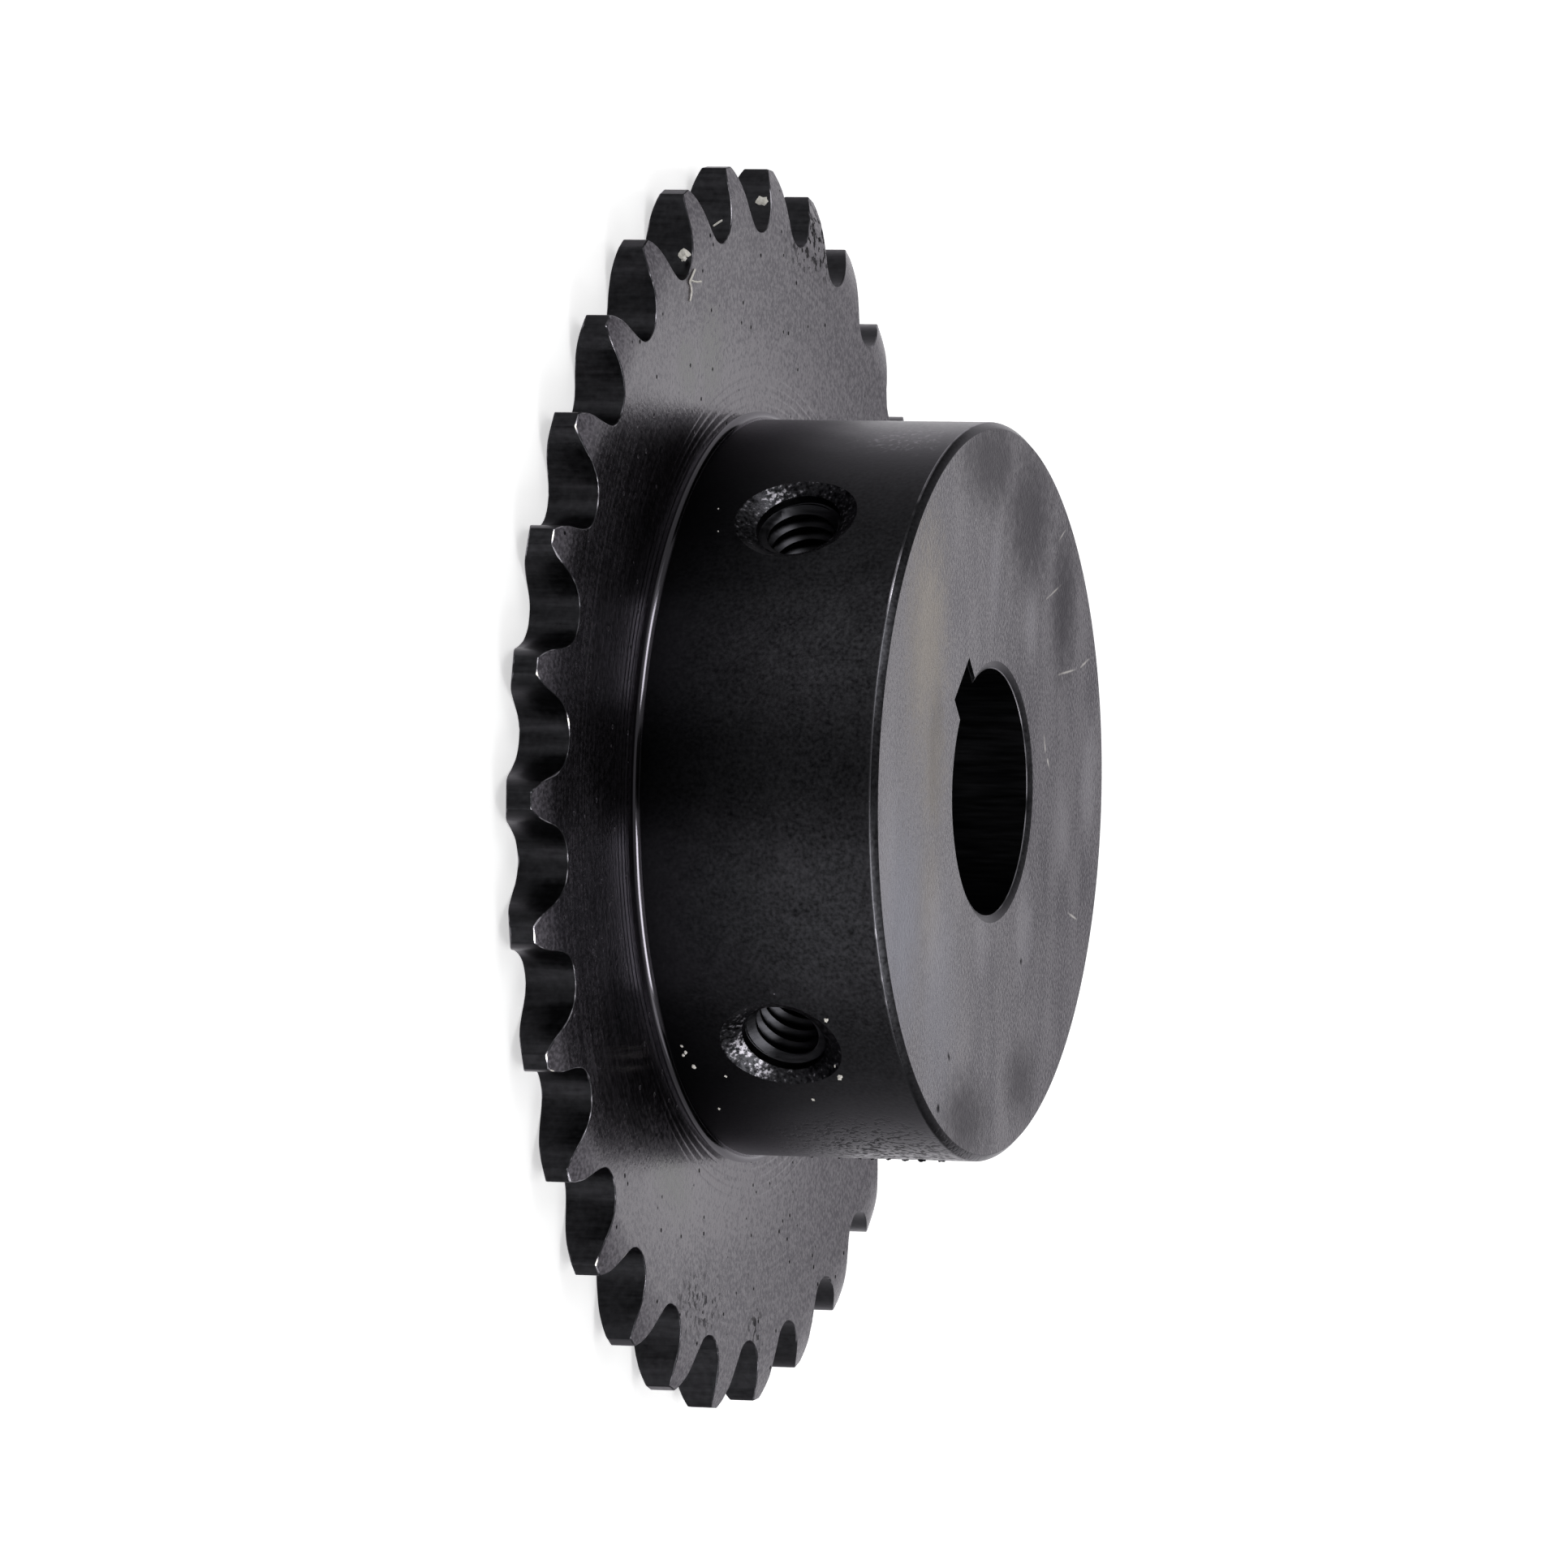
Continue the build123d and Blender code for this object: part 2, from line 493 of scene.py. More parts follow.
@dataclass(frozen=True)
class FacedPlate(Finish):
    """Plate sides faced in the lathe, then blackened.

    The tool leaves fine rings round the hub, and the bath etches a fine grain, the odd pit and
    some crowds of them. Beside the hub the black is rubbed glossier, and oil dries to a haze.
    """

    name: str = "blackened_faced_steel"
    # The real feed, about 0.1 mm, and the real grain, about 0.1 mm, are finer than a pixel, so
    # both are drawn coarser.
    tool_mark: float = 16.0
    feed: float = 0.34
    grain: float = 0.3
    cloud: float = 6.0
    crowd: float = 0.7
    pit_spacing: float = 0.9
    pit_radius: float = 0.22
    pit_share: float = 0.1
    # From the first radius to the second the surface goes from rubbed to dull, and its rings fade.
    rubbed_from: tuple[float, float] = (29.0, 44.0)
    ringed_from: tuple[float, float] = (30.0, 40.0)
    roughness: tuple[float, float] = (0.18, 0.26)
    haze: tuple[Patch, ...] = (
        Patch((35.5, -9.0, 4.0), (3.6, 3.0, 4.0), -14.0, 0.8),
        Patch((33.0, -14.0, 4.0), (5.5, 4.0, 4.0), -40.0, 0.9),
        Patch((-8.0, 33.5, 4.0), (8.0, 4.0, 4.0), 10.0, 0.9),
    )
    glossed: tuple[Patch, ...] = (
        Patch((29.3, -14.2, 4.0), (36.0, 7.5, 3.0), 46.4, 0.3, 0.75),
        Patch((-14.8, 29.4, 4.0), (34.0, 7.5, 3.0), 46.4, 0.3, 0.85),
    )
    pitted: tuple[Patch, ...] = (
        Patch((22.6, -38.2, 3.5), (10.0, 4.5, 3.0), 46.4, 0.7),
        Patch((-21.5, 35.0, 3.5), (8.0, 4.0, 3.0), 46.4, 0.8, 0.7),
        Patch((-32.5, 27.0, 3.5), (3.0, 3.0, 3.0), 46.4, 0.8, 0.8),
    )

    def dress(self, ground: Ground) -> None:
        """Adds the finish's nodes.

        Args:
            ground: that takes them.
        """
        rings = ground.turned(self.tool_mark, self.feed)
        grain = ground.speckle(self.grain)
        cloud = ground.speckle(self.cloud)
        crowds = ground.spots(ground.speckle(self.crowd), 0.53, 0.6, ground.patches(self.pitted))
        pits = ground.pits(self.pit_spacing, self.pit_radius, self.pit_share)
        pits = ground.add("Math", pits, crowds, operation="MAXIMUM")

        thin = ground.vary({grain: 3.8, rings: 1.0}, 0.45, {ground.patches(self.glossed): 0.7})
        skin = ground.blend(thin, DULL, RUBBED)
        haze = ground.add("Math", ground.patches(self.haze), thin, operation="MULTIPLY")
        metal = ground.add("Math", 1.0, haze, operation="SUBTRACT")
        colour = ground.mixed(haze, skin.colour, OIL_HAZE)
        colour = ground.mixed(pits, colour, THICK_OXIDE)

        limits = (*self.rubbed_from, *self.roughness)
        dull = ground.add("MapRange", ground.radius, *limits, **SMOOTH)
        dull = ground.vary({cloud: 0.12, rings: 0.14, grain: 0.1}, dull, {pits: 0.6})
        raised = ground.add("MapRange", ground.radius, *self.ringed_from, 1.0, 0.2)
        rings = ground.add("Math", rings, raised, operation="MULTIPLY")
        relief = {rings: 0.009, grain: 0.015, pits: -0.03}
        ground.coat(skin, relief, 0.6, Base_Color=colour, Metallic=metal, Roughness=dull)


@dataclass(frozen=True)
class WipedFace(Finish):
    """The hub's face, faced in the lathe, blackened, wiped and handled.

    It has the plate's grain, streaks along the way it was wiped, a yellowish film of oil beside
    the keyway, a blue tinge further round, rubbed and dull places and some scratches.
    """

    name: str = "blackened_wiped_steel"
    tool_mark: float = 12.0
    feed: float = 0.34
    grain: float = 0.3
    wipe_reach: Point = (11.0, 4.2, 1.0)
    roughness: float = 0.24
    film: tuple[Patch, ...] = on_face(
        (20.0, 4.2, 13.0, 7.0, 0.8, 0.9),
        (12.0, 9.0, 9.0, 4.5, 0.9, 0.6),
        (4.5, 16.5, 8.0, 4.0, 0.9, 0.45),
    )
    blued: tuple[Patch, ...] = on_face(
        (8.0, 23.0, 13.0, 8.0, 0.7, 0.8),
        (-3.0, 20.0, 12.0, 7.0, 0.9, 0.4),
    )
    worn: tuple[Patch, ...] = on_face(
        (14.9, 21.4, 15.0, 4.0, 0.7, 0.5),
        (-16.1, -18.4, 7.0, 3.2, 1.0, 0.6, -46.0),
        (-14.2, -11.0, 5.0, 2.6, 1.0, 0.4, -40.0),
        (-13.6, 1.0, 6.5, 3.4, 1.0, 0.6, -46.0),
        (-6.6, 9.0, 5.0, 3.0, 0.9, 0.4, -40.0),
        (1.0, 17.5, 7.0, 4.5, 0.9, 0.4),
        (12.6, -11.4, 6.0, 2.2, 1.0, 0.4, -46.0),
        (3.6, -15.4, 4.0, 2.2, 0.9, 0.6, -40.0),
    )
    dulled: tuple[Patch, ...] = on_face(
        (10.0, -20.5, 9.0, 9.0, 0.8, 1.0),
        (-1.0, -22.5, 9.0, 5.0, 0.8, 1.0),
        (20.0, -16.0, 6.0, 11.0, 0.8, 1.0),
        (12.2, 8.2, 7.5, 2.6, 0.8, 0.7),
        (-22.0, 9.4, 4.5, 6.0, 0.8, 0.8),
        (-14.5, 21.0, 5.0, 9.0, 0.8, 1.0),
    )
    scratches: tuple[Patch, ...] = on_face(
        (-5.8, -19.9, 3.0, 0.14, 1.0, 0.6, 52.5),
        (-8.3, -23.6, 1.6, 0.14, 1.0, 0.5, 64.0),
        (3.3, -25.9, 1.4, 0.12, 1.0, 0.5, 75.0),
        (1.4, -21.3, 2.5, 0.12, 1.2, 0.5, 64.0),
        (-6.2, -12.0, 1.0, 0.2, 1.2, 0.6, -21.0),
        (-7.9, -11.7, 0.9, 0.2, 1.2, 0.6, 0.0),
        (-21.5, -8.6, 1.7, 0.14, 1.0, 0.6, 34.0),
    )
    spots: tuple[Patch, ...] = on_face(
        (-15.0, 3.25, 0.4, 0.4, 0.5, 1.0, 0.0),
        (-8.1, 20.9, 0.6, 0.35, 0.8, 1.0, 0.0),
        (-9.3, 25.3, 0.5, 0.5, 0.8, 1.0, 0.0),
    )

    def dress(self, ground: Ground) -> None:
        """Adds the finish's nodes.

        Args:
            ground: that takes them.
        """
        rings = ground.turned(self.tool_mark, self.feed)
        grain = ground.speckle(self.grain)
        wiped = ground.add(
            "Mapping",
            ground.place,
            Rotation=(0.0, 0.0, math.radians(WIPED)),
            Scale=self.wipe_reach,
            vector_type="TEXTURE",
        )
        streaks = ground.add("TexNoise", wiped, Scale=1.0, Detail=5.0)

        spots = ground.patches(self.spots)
        dulled = ground.patches(self.dulled)
        thin = ground.vary({streaks: 2.8, grain: 3.6, rings: 0.5}, 0.56)
        skin = ground.blend(thin, DULL, RUBBED)
        skin = ground.blend(dulled, skin, DUSTY)
        skin = ground.blend(ground.patches(self.film), skin, FILMED)
        skin = ground.blend(ground.patches(self.blued), skin, BLUED)
        colour = ground.mixed(ground.patches(self.worn), skin.colour, RUBBED_STEEL)
        colour = ground.mixed(ground.patches(self.scratches), colour, BARE_STEEL)
        colour = ground.mixed(spots, colour, THICK_OXIDE)

        layers = {streaks: 0.25, rings: 0.1, grain: 0.1}
        dull = ground.vary(layers, self.roughness, {spots: 0.5, dulled: 0.07})
        relief = {rings: 0.0025, grain: 0.055}
        ground.coat(skin, relief, 0.2, Base_Color=colour, Roughness=dull)


@dataclass(frozen=True)
class TurnedWall(Finish):
    """The hub turned round in the lathe, then blackened.

    Its oil has run into the porous oxide, so it is near black face on, and down at the plate it is
    painted darker still, as painted shade where the plate shades it. The fine lay round it throws
    the light up and down. One side is etched and rubbed in places, and its lighter patches there
    and beside the keyway are partly scrapes and partly painted highlight.
    """

    name: str = "blackened_turned_steel"
    tool_mark: float = 7.0
    feed: float = 0.25
    grain: float = 0.3
    cloud: float = 2.2
    fleck: float = 0.42
    dust_spacing: float = 1.7
    dust_radius: float = 0.08
    dust_share: float = 0.04
    # Painted shade: the wall is painted darker towards the plate, full at the first height over
    # the back face and gone at the second.
    painted_shade_heights: tuple[float, float] = (4.0, 17.0)
    roughness: float = 0.35
    etched: tuple[Patch, ...] = (Patch((-15.8, 23.7, 17.5), (10.0, 5.0, 10.0), 33.7, 0.8),)
    # Lighter scraped places, partly real scrapes and partly painted highlight. The last, beside
    # the keyway, is only a painted highlight.
    scrapes_and_highlights: tuple[Patch, ...] = (
        Patch((-18.0, 22.1, 18.0), (5.0, 4.0, 8.0), 39.2, 1.3, 0.6),
        Patch((-17.6, 22.4, 11.0), (4.5, 4.0, 4.5), 38.0, 1.3, 0.4),
        Patch((26.0, -11.7, 19.0), (4.0, 3.0, 5.0), 65.7, 1.3, 0.6),
    )

    def dress(self, ground: Ground) -> None:
        """Adds the finish's nodes.

        Args:
            ground: that takes them.
        """
        rings = ground.turned(self.tool_mark, self.feed)
        cloud = ground.speckle(self.cloud)
        grain = ground.speckle(self.grain)
        flecks = ground.speckle(self.fleck)
        dust = ground.pits(self.dust_spacing, self.dust_radius, self.dust_share)
        # The scraped places' bright flecks are partly painted highlight.
        scrapes_and_highlights = ground.patches(self.scrapes_and_highlights)
        bare = ground.spots(flecks, 0.47, 0.33, scrapes_and_highlights)
        crumbs = ground.spots(flecks, 0.47, 0.62, ground.patches(self.etched))

        # Painted shade: the skin is painted darker down towards the plate, where the plate shades
        # it.
        painted_shade_fade = ground.add("MapRange", ground.height, *self.painted_shade_heights)
        thin = ground.vary({cloud: 0.5, grain: 1.6}, 0.5)
        thin = ground.add("Math", thin, painted_shade_fade, operation="MULTIPLY")
        colour = ground.mixed(thin, THICK_OXIDE, DRAINED.colour)
        colour = ground.mixed(dust, colour, THIN_OXIDE)
        colour = ground.mixed(bare, colour, RUBBED_STEEL)
        colour = ground.mixed(crumbs, colour, THICK_OXIDE)
        dull = ground.vary({cloud: 0.05, grain: 0.12}, self.roughness, {crumbs: 0.3})
        relief = {rings: 0.0015, grain: 0.006, crumbs: -0.04}
        # The scraped places take the glossier oiled skin, partly as painted highlight.
        skin = ground.blend(scrapes_and_highlights, DRAINED, OILED)
        ground.coat(skin, relief, 0.75, Base_Color=colour, Roughness=dull)


@dataclass(frozen=True)
class BurnishedRoot(Finish):
    """The fillet at the hub's root, left smooth by the tool's round nose: a thin, sharp gloss."""

    name: str = "blackened_burnished_steel"
    tool_mark: float = 3.0
    feed: float = 0.12

    def dress(self, ground: Ground) -> None:
        """Adds the finish's nodes.

        Args:
            ground: that takes them.
        """
        marks = ground.turned(self.tool_mark, self.feed)
        dull = ground.add("MapRange", marks, 0.3, 0.7, 0.1, 0.2)
        ground.coat(OILED, {marks: 0.001}, 0.6, Roughness=dull)


@dataclass(frozen=True)
class HobbedFlank(Finish):
    """Tooth gaps cut by the hob, then blackened: duller than the faces, scored along the gap."""

    name: str = "blackened_hobbed_steel"
    # The hob's scores run through the plate, a real 0.3 mm apart: so many in a millimetre across
    # and along.
    scores: tuple[float, float] = (3.3, 0.3)
    grain: float = 0.5
    roughness: float = 0.34

    def dress(self, ground: Ground) -> None:
        """Adds the finish's nodes.

        Args:
            ground: that takes them.
        """
        scores = ground.drawn(*self.scores, 4.0)
        grain = ground.speckle(self.grain)
        thin = ground.vary({scores: 0.9, grain: 0.9}, 0.62)
        colour = ground.mixed(thin, THICK_OXIDE, DRAINED.colour)
        dull = ground.vary({scores: 0.15, grain: 0.15}, self.roughness)
        ground.coat(DRAINED, {scores: 0.004, grain: 0.01}, Base_Color=colour, Roughness=dull)


@dataclass(frozen=True)
class WornEdge(Finish):
    """Edges where the black has rubbed thin, with bright steel where it is through.

    How worn an edge is comes with the mesh, as its "wear".
    """

    name: str = "worn_edge_steel"
    rubbed_at: tuple[float, float] = (0.35, 0.75)
    bare_at: tuple[float, float] = (0.8, 0.95)
    grain: float = 0.17
    roughness: float = 0.35

    def dress(self, ground: Ground) -> None:
        """Adds the finish's nodes.

        Args:
            ground: that takes them.
        """
        wear = ground.add("Attribute", attribute_name=WEAR).outputs["Fac"]
        rubbed = ground.add("MapRange", wear, *self.rubbed_at, **SMOOTH)
        bare = ground.add("MapRange", wear, *self.bare_at, **SMOOTH)
        colour = ground.mixed(rubbed, DRAINED.colour, RUBBED_STEEL)
        colour = ground.mixed(bare, colour, BARE_STEEL)
        relief = {ground.speckle(self.grain): 0.01}
        ground.coat(DRAINED, relief, Base_Color=colour, Roughness=self.roughness)


@dataclass(frozen=True)
class CutSink(Finish):
    """Countersinks cut by hand after the tapping, then blackened and marked by the screws'
    scuffing.

    Chatter and scuffs show bright where they catch the light, on the dark skin. The lighter scuff
    patches are partly real scuffs and partly painted highlight.
    """

    name: str = "scuffed_countersink_steel"
    chatter: float = 0.3125
    # Lighter scuff patches, partly real scuffs and partly painted highlight.
    scuffs_and_highlights: tuple[Patch, ...] = (
        Patch((27.9, -2.9, 11.2), (1.6, 1.5, 1.6), 0.0, 0.9, 0.8),
        Patch((27.3, -1.0, 17.2), (1.8, 2.5, 1.2), 0.0, 0.9, 0.5),
        Patch((-0.7, 27.8, 10.3), (2.0, 1.4, 1.9), 0.0, 0.9),
        Patch((-2.8, 27.9, 11.3), (1.6, 1.4, 1.5), 0.0, 0.9, 0.6),
        Patch((1.7, 27.8, 10.7), (1.7, 1.4, 2.0), 0.0, 0.9, 0.6),
    )

    def dress(self, ground: Ground) -> None:
        """Adds the finish's nodes.

        Args:
            ground: that takes them.
        """
        speckle = ground.add("TexNoise", ground.place, Scale=1 / self.chatter, Detail=4.0)
        # Partly painted highlight: the scuff patches brighten the cones where they catch the
        # light.
        scuffs_and_highlights = ground.patches(self.scuffs_and_highlights)
        level = ground.add("Math", scuffs_and_highlights, 0.2, speckle, operation="MULTIPLY_ADD")
        worn = ground.add("MapRange", level, 0.6, 0.78, 0.0, 0.5, **SMOOTH)
        colour = ground.mixed(ground.vary({speckle: 2.6}, 0.4), THICK_OXIDE, DRAINED.colour)
        colour = ground.mixed(worn, colour, RUBBED_STEEL)
        dull = ground.add("MapRange", speckle, 0.3, 0.7, 0.28, 0.5)
        ground.coat(DRAINED, {speckle: 0.022}, Base_Color=colour, Roughness=dull)


@dataclass(frozen=True)
class OiledThread(Finish):
    """Tapped threads and the reamed bore, blackened: dark, with a faint wet gloss."""

    name: str = "blackened_reamed_steel"
    streaks: tuple[float, float] = (2.5, 0.25)
    roughness: float = 0.36

    def dress(self, ground: Ground) -> None:
        """Adds the finish's nodes.

        Args:
            ground: that takes them.
        """
        streaks = ground.drawn(*self.streaks, 2.0)
        colour = ground.mixed(ground.vary({streaks: 0.8}, 0.3), THICK_OXIDE, DRAINED.colour)
        dull = ground.vary({streaks: 0.2}, self.roughness)
        ground.coat(DRAINED, {streaks: 0.004}, Base_Color=colour, Roughness=dull)


@dataclass(frozen=True)
class DriedPaste(Finish):
    """Specks of dried cutting paste and lint: pale and chalky, with no gloss."""

    name: str = "dried_cutting_paste"
    colours: tuple[Colour, Colour] = (linear("#bdb8ab"), linear("#fbf9f3"))
    grain: float = 0.35
    roughness: float = 0.85

    def dress(self, ground: Ground) -> None:
        """Adds the finish's nodes.

        Args:
            ground: that takes them.
        """
        colour = ground.mixed(ground.speckle(self.grain), *self.colours)
        ground.coat(OILED, {}, Base_Color=colour, Metallic=0.0, Roughness=self.roughness)


# ------------------------------------------------------------------------------------------ mesh


def stand_ins() -> list[bpy.types.Material]:
    """Finds a plain material for each surface in order, which tells the surfaces apart in a cut.

    Returns:
        The materials.
    """
    known = bpy.data.materials
    names = [f"surface_{surface.name}" for surface in Surface]
    return [known.get(name) or known.new(name) for name in names]


@dataclass
class Shell:
    """Collects a closed skin, ring by ring, in millimetres.

    Rings run counter-clockwise seen from the hub, and are joined in the order up the outside,
    inwards over the top, down the bore and outwards underneath.
    """

    points: list[Point] = field(default_factory=list)
    faces: list[tuple[int, ...]] = field(default_factory=list)
    surfaces: list[int] = field(default_factory=list)

    def ring(self, xy: np.ndarray, height: np.ndarray | float) -> list[int]:
        """Adds a ring of points.

        Args:
            xy: the plan of the ring, one row a point.
            height: one for all the points, or one each.

        Returns:
            The points' numbers.
        """
        start = len(self.points)
        heights = np.broadcast_to(np.asarray(height, float), len(xy))
        self.points += [(float(x), float(y), float(z)) for (x, y), z in zip(xy, heights)]
        return list(range(start, len(self.points)))

    def around(self, x: float, radius: float, turn: float) -> int:
        """Adds a point round the +X axis, at a turn in radians."""
        self.points.append((x, radius * math.cos(turn), radius * math.sin(turn)))
        return len(self.points) - 1

    def face(self, corners: tuple[int, ...], surface: Surface) -> None:
        """Adds a face."""
        self.faces.append(corners)
        self.surfaces.append(int(surface))

    def band(self, first: list[int], second: list[int], surface: Surface) -> None:
        """Joins two rings of as many points.

        Args:
            first: the first ring.
            second: the ring that follows it.
            surface: that leads from one to the other.
        """
        following = zip(first[1:] + first[:1], second[1:] + second[:1])
        for a, b, (c, d) in zip(first, second, following):
            self.face((a, c, d, b), surface)

    def climb(self, ring: list[int], steps: list[tuple[np.ndarray, float, Surface]]) -> list[int]:
        """Joins a ring to those that follow it.

        Args:
            ring: the first ring.
            steps: plan and height of each further ring, and the surface that leads there.

        Returns:
            The last ring.
        """
        for plan, height, surface in steps:
            following = self.ring(plan, height)
            self.band(ring, following, surface)
            ring = following
        return ring

    def thin_out(self, fine: list[int], coarse: list[int], front: bool) -> None:
        """Joins a ring of the web to the next one in, which has half as many points.

        Args:
            fine: the outer ring.
            coarse: the inner ring.
            front: whether the web faces up.
        """
        count = len(coarse)
        for i in range(count):
            a, b, c = fine[2 * i], fine[2 * i + 1], fine[(2 * i + 2) % len(fine)]
            p, q = coarse[i], coarse[(i + 1) % count]
            for corners in ((a, b, p), (b, q, p), (b, c, q)):
                self.face(corners if front else corners[::-1], Surface.PLATE_FACE)

    def build(self, name: str) -> bpy.types.Object:
        """Turns the skin into an object in metres, with a stand-in material for each surface.

        Args:
            name: of the object.

        Returns:
            The object.
        """
        mesh = bpy.data.meshes.new(name)
        mesh.from_pydata([tuple(c * MM for c in p) for p in self.points], [], self.faces)
        mesh.polygons.foreach_set("material_index", self.surfaces)
        mesh.polygons.foreach_set("use_smooth", [True] * len(self.faces))
        mesh.update()
        return add_object(name, mesh, *stand_ins())


def polar(radius: Any, angle: Any) -> np.ndarray:
    """Points at radii and angles in degrees, one row a point."""
    turn = np.radians(angle)
    return np.stack([radius * np.cos(turn), radius * np.sin(turn)], axis=-1)


def bearing_to(point: np.ndarray) -> float:
    """Bearing of a point of a plan from its origin, in degrees."""
    return math.degrees(math.atan2(point[1], point[0]))


@dataclass
class ToothForm:
    """Standard tooth gap for roller chain, with the tips' corners broken.

    Args:
        pitch: of the chain.
        roller: diameter of the chain's rollers.
        teeth: how many there are.
        seat_factor: size of the seating curve as a share of the roller's.
        seat_clearance: that is added to it.
        working_factor: distance of the working curve's centre as a share of the roller's diameter.
        topping_factor: the same for the topping curve.
        tip_factor: height of the teeth as a share of the pitch.
        corner: radius that breaks the corners of a tip.
    """

    pitch: float = 9.525
    roller: float = 5.08
    teeth: int = 30
    seat_factor: float = 1.005
    seat_clearance: float = 0.0762
    working_factor: float = 0.8
    topping_factor: float = 1.4
    tip_factor: float = 0.6
    corner: float = 0.22

    def __post_init__(self) -> None:
        """Works out the angles and radii that follow."""
        self.half_angle = 180 / self.teeth
        half_turn = math.radians(self.half_angle)
        self.seat_angle = 35 + 60 / self.teeth
        self.working_angle = 18 - 56 / self.teeth
        self.flank_angle = 17 - 64 / self.teeth
        self.pitch_radius = self.pitch / math.sin(half_turn) / 2
        self.tip_radius = self.pitch * (self.tip_factor + 1 / math.tan(half_turn)) / 2
        self.seat_radius = (self.seat_factor * self.roller + self.seat_clearance) / 2

    def half_gap(self) -> np.ndarray:
        """Points of one side of a gap, from its bottom to the middle of a tip.

        Returns:
            One row a point, with the gap's middle on the +X axis.
        """
        flank_length = self.roller * (
            self.topping_factor * math.sin(math.radians(self.flank_angle))
            - self.working_factor * math.sin(math.radians(self.working_angle))
        )
        roller = np.array([self.pitch_radius, 0.0])
        seat_end = 90 + self.seat_angle
        seat = roller + polar(self.seat_radius, np.linspace(180, seat_end, 9))
        working_centre = roller - polar(self.working_factor * self.roller, seat_end)
        working_radius = self.working_factor * self.roller + self.seat_radius
        working_end = seat_end - self.working_angle
        working = working_centre + polar(working_radius, np.linspace(seat_end, working_end, 5))
        heading = polar(1.0, working_end - 90)
        flank = working[-1] + np.outer(np.linspace(0, flank_length, 3), heading)
        centre = roller + polar(self.topping_factor * self.roller, 90 + self.half_angle)
        radius = float(np.linalg.norm(flank[-1] - centre))
        start = bearing_to(flank[-1] - centre)
        corner, last, touch = self.tip_corner(centre, radius)
        topping = centre + polar(radius, np.linspace(start, last, 9))
        bend = bearing_to(topping[-1] - corner)
        rounding = corner + polar(self.corner, np.linspace(bend, touch, 5))
        land = polar(self.tip_radius, np.linspace(touch, self.half_angle, 3))
        parts = [seat, working[1:], flank[1:], topping[1:], rounding[1:], land[1:]]
        return np.concatenate(parts)

    def tip_corner(self, centre: np.ndarray, radius: float) -> tuple[np.ndarray, float, float]:
        """Fits the small arc that joins a topping curve to the tip circle.

        Args:
            centre: of the topping curve.
            radius: of the topping curve.

        Returns:
            The small arc's centre, the topping curve's last angle and the tip circle's first.
        """
        near, far = radius - self.corner, self.tip_radius - self.corner
        reach = float(np.linalg.norm(centre))
        cosine = (reach**2 + far**2 - near**2) / (2 * reach * far)
        touch = bearing_to(centre) - math.degrees(math.acos(cosine))
        corner = polar(far, touch)
        return corner, bearing_to(corner - centre), touch

    def outline(self) -> tuple[np.ndarray, np.ndarray]:
        """Points all round the teeth and the outward directions there.

        Returns:
            Both with one row a point, from the middle of the first gap.
        """
        half = self.half_gap()
        mirrored = half[::-1] * np.array([1, -1])
        gap = np.concatenate([mirrored[1:-1], half])
        gaps = []
        for tooth in range(self.teeth):
            turn = math.radians((2 * tooth + 1) * self.half_angle)
            rotation = np.array(
                [[math.cos(turn), math.sin(turn)], [-math.sin(turn), math.cos(turn)]]
            )
            gaps.append(gap @ rotation)
        points = np.roll(np.concatenate(gaps), -(len(mirrored) - 2), axis=0)
        ahead = np.roll(points, -1, axis=0) - points
        behind = points - np.roll(points, 1, axis=0)
        ahead /= np.linalg.norm(ahead, axis=1, keepdims=True) ** 2
        behind /= np.linalg.norm(behind, axis=1, keepdims=True) ** 2
        # The nearer neighbour tells more of the direction here.
        along = ahead + behind
        along /= np.linalg.norm(along, axis=1, keepdims=True)
        return points, np.stack([along[:, 1], -along[:, 0]], axis=1)


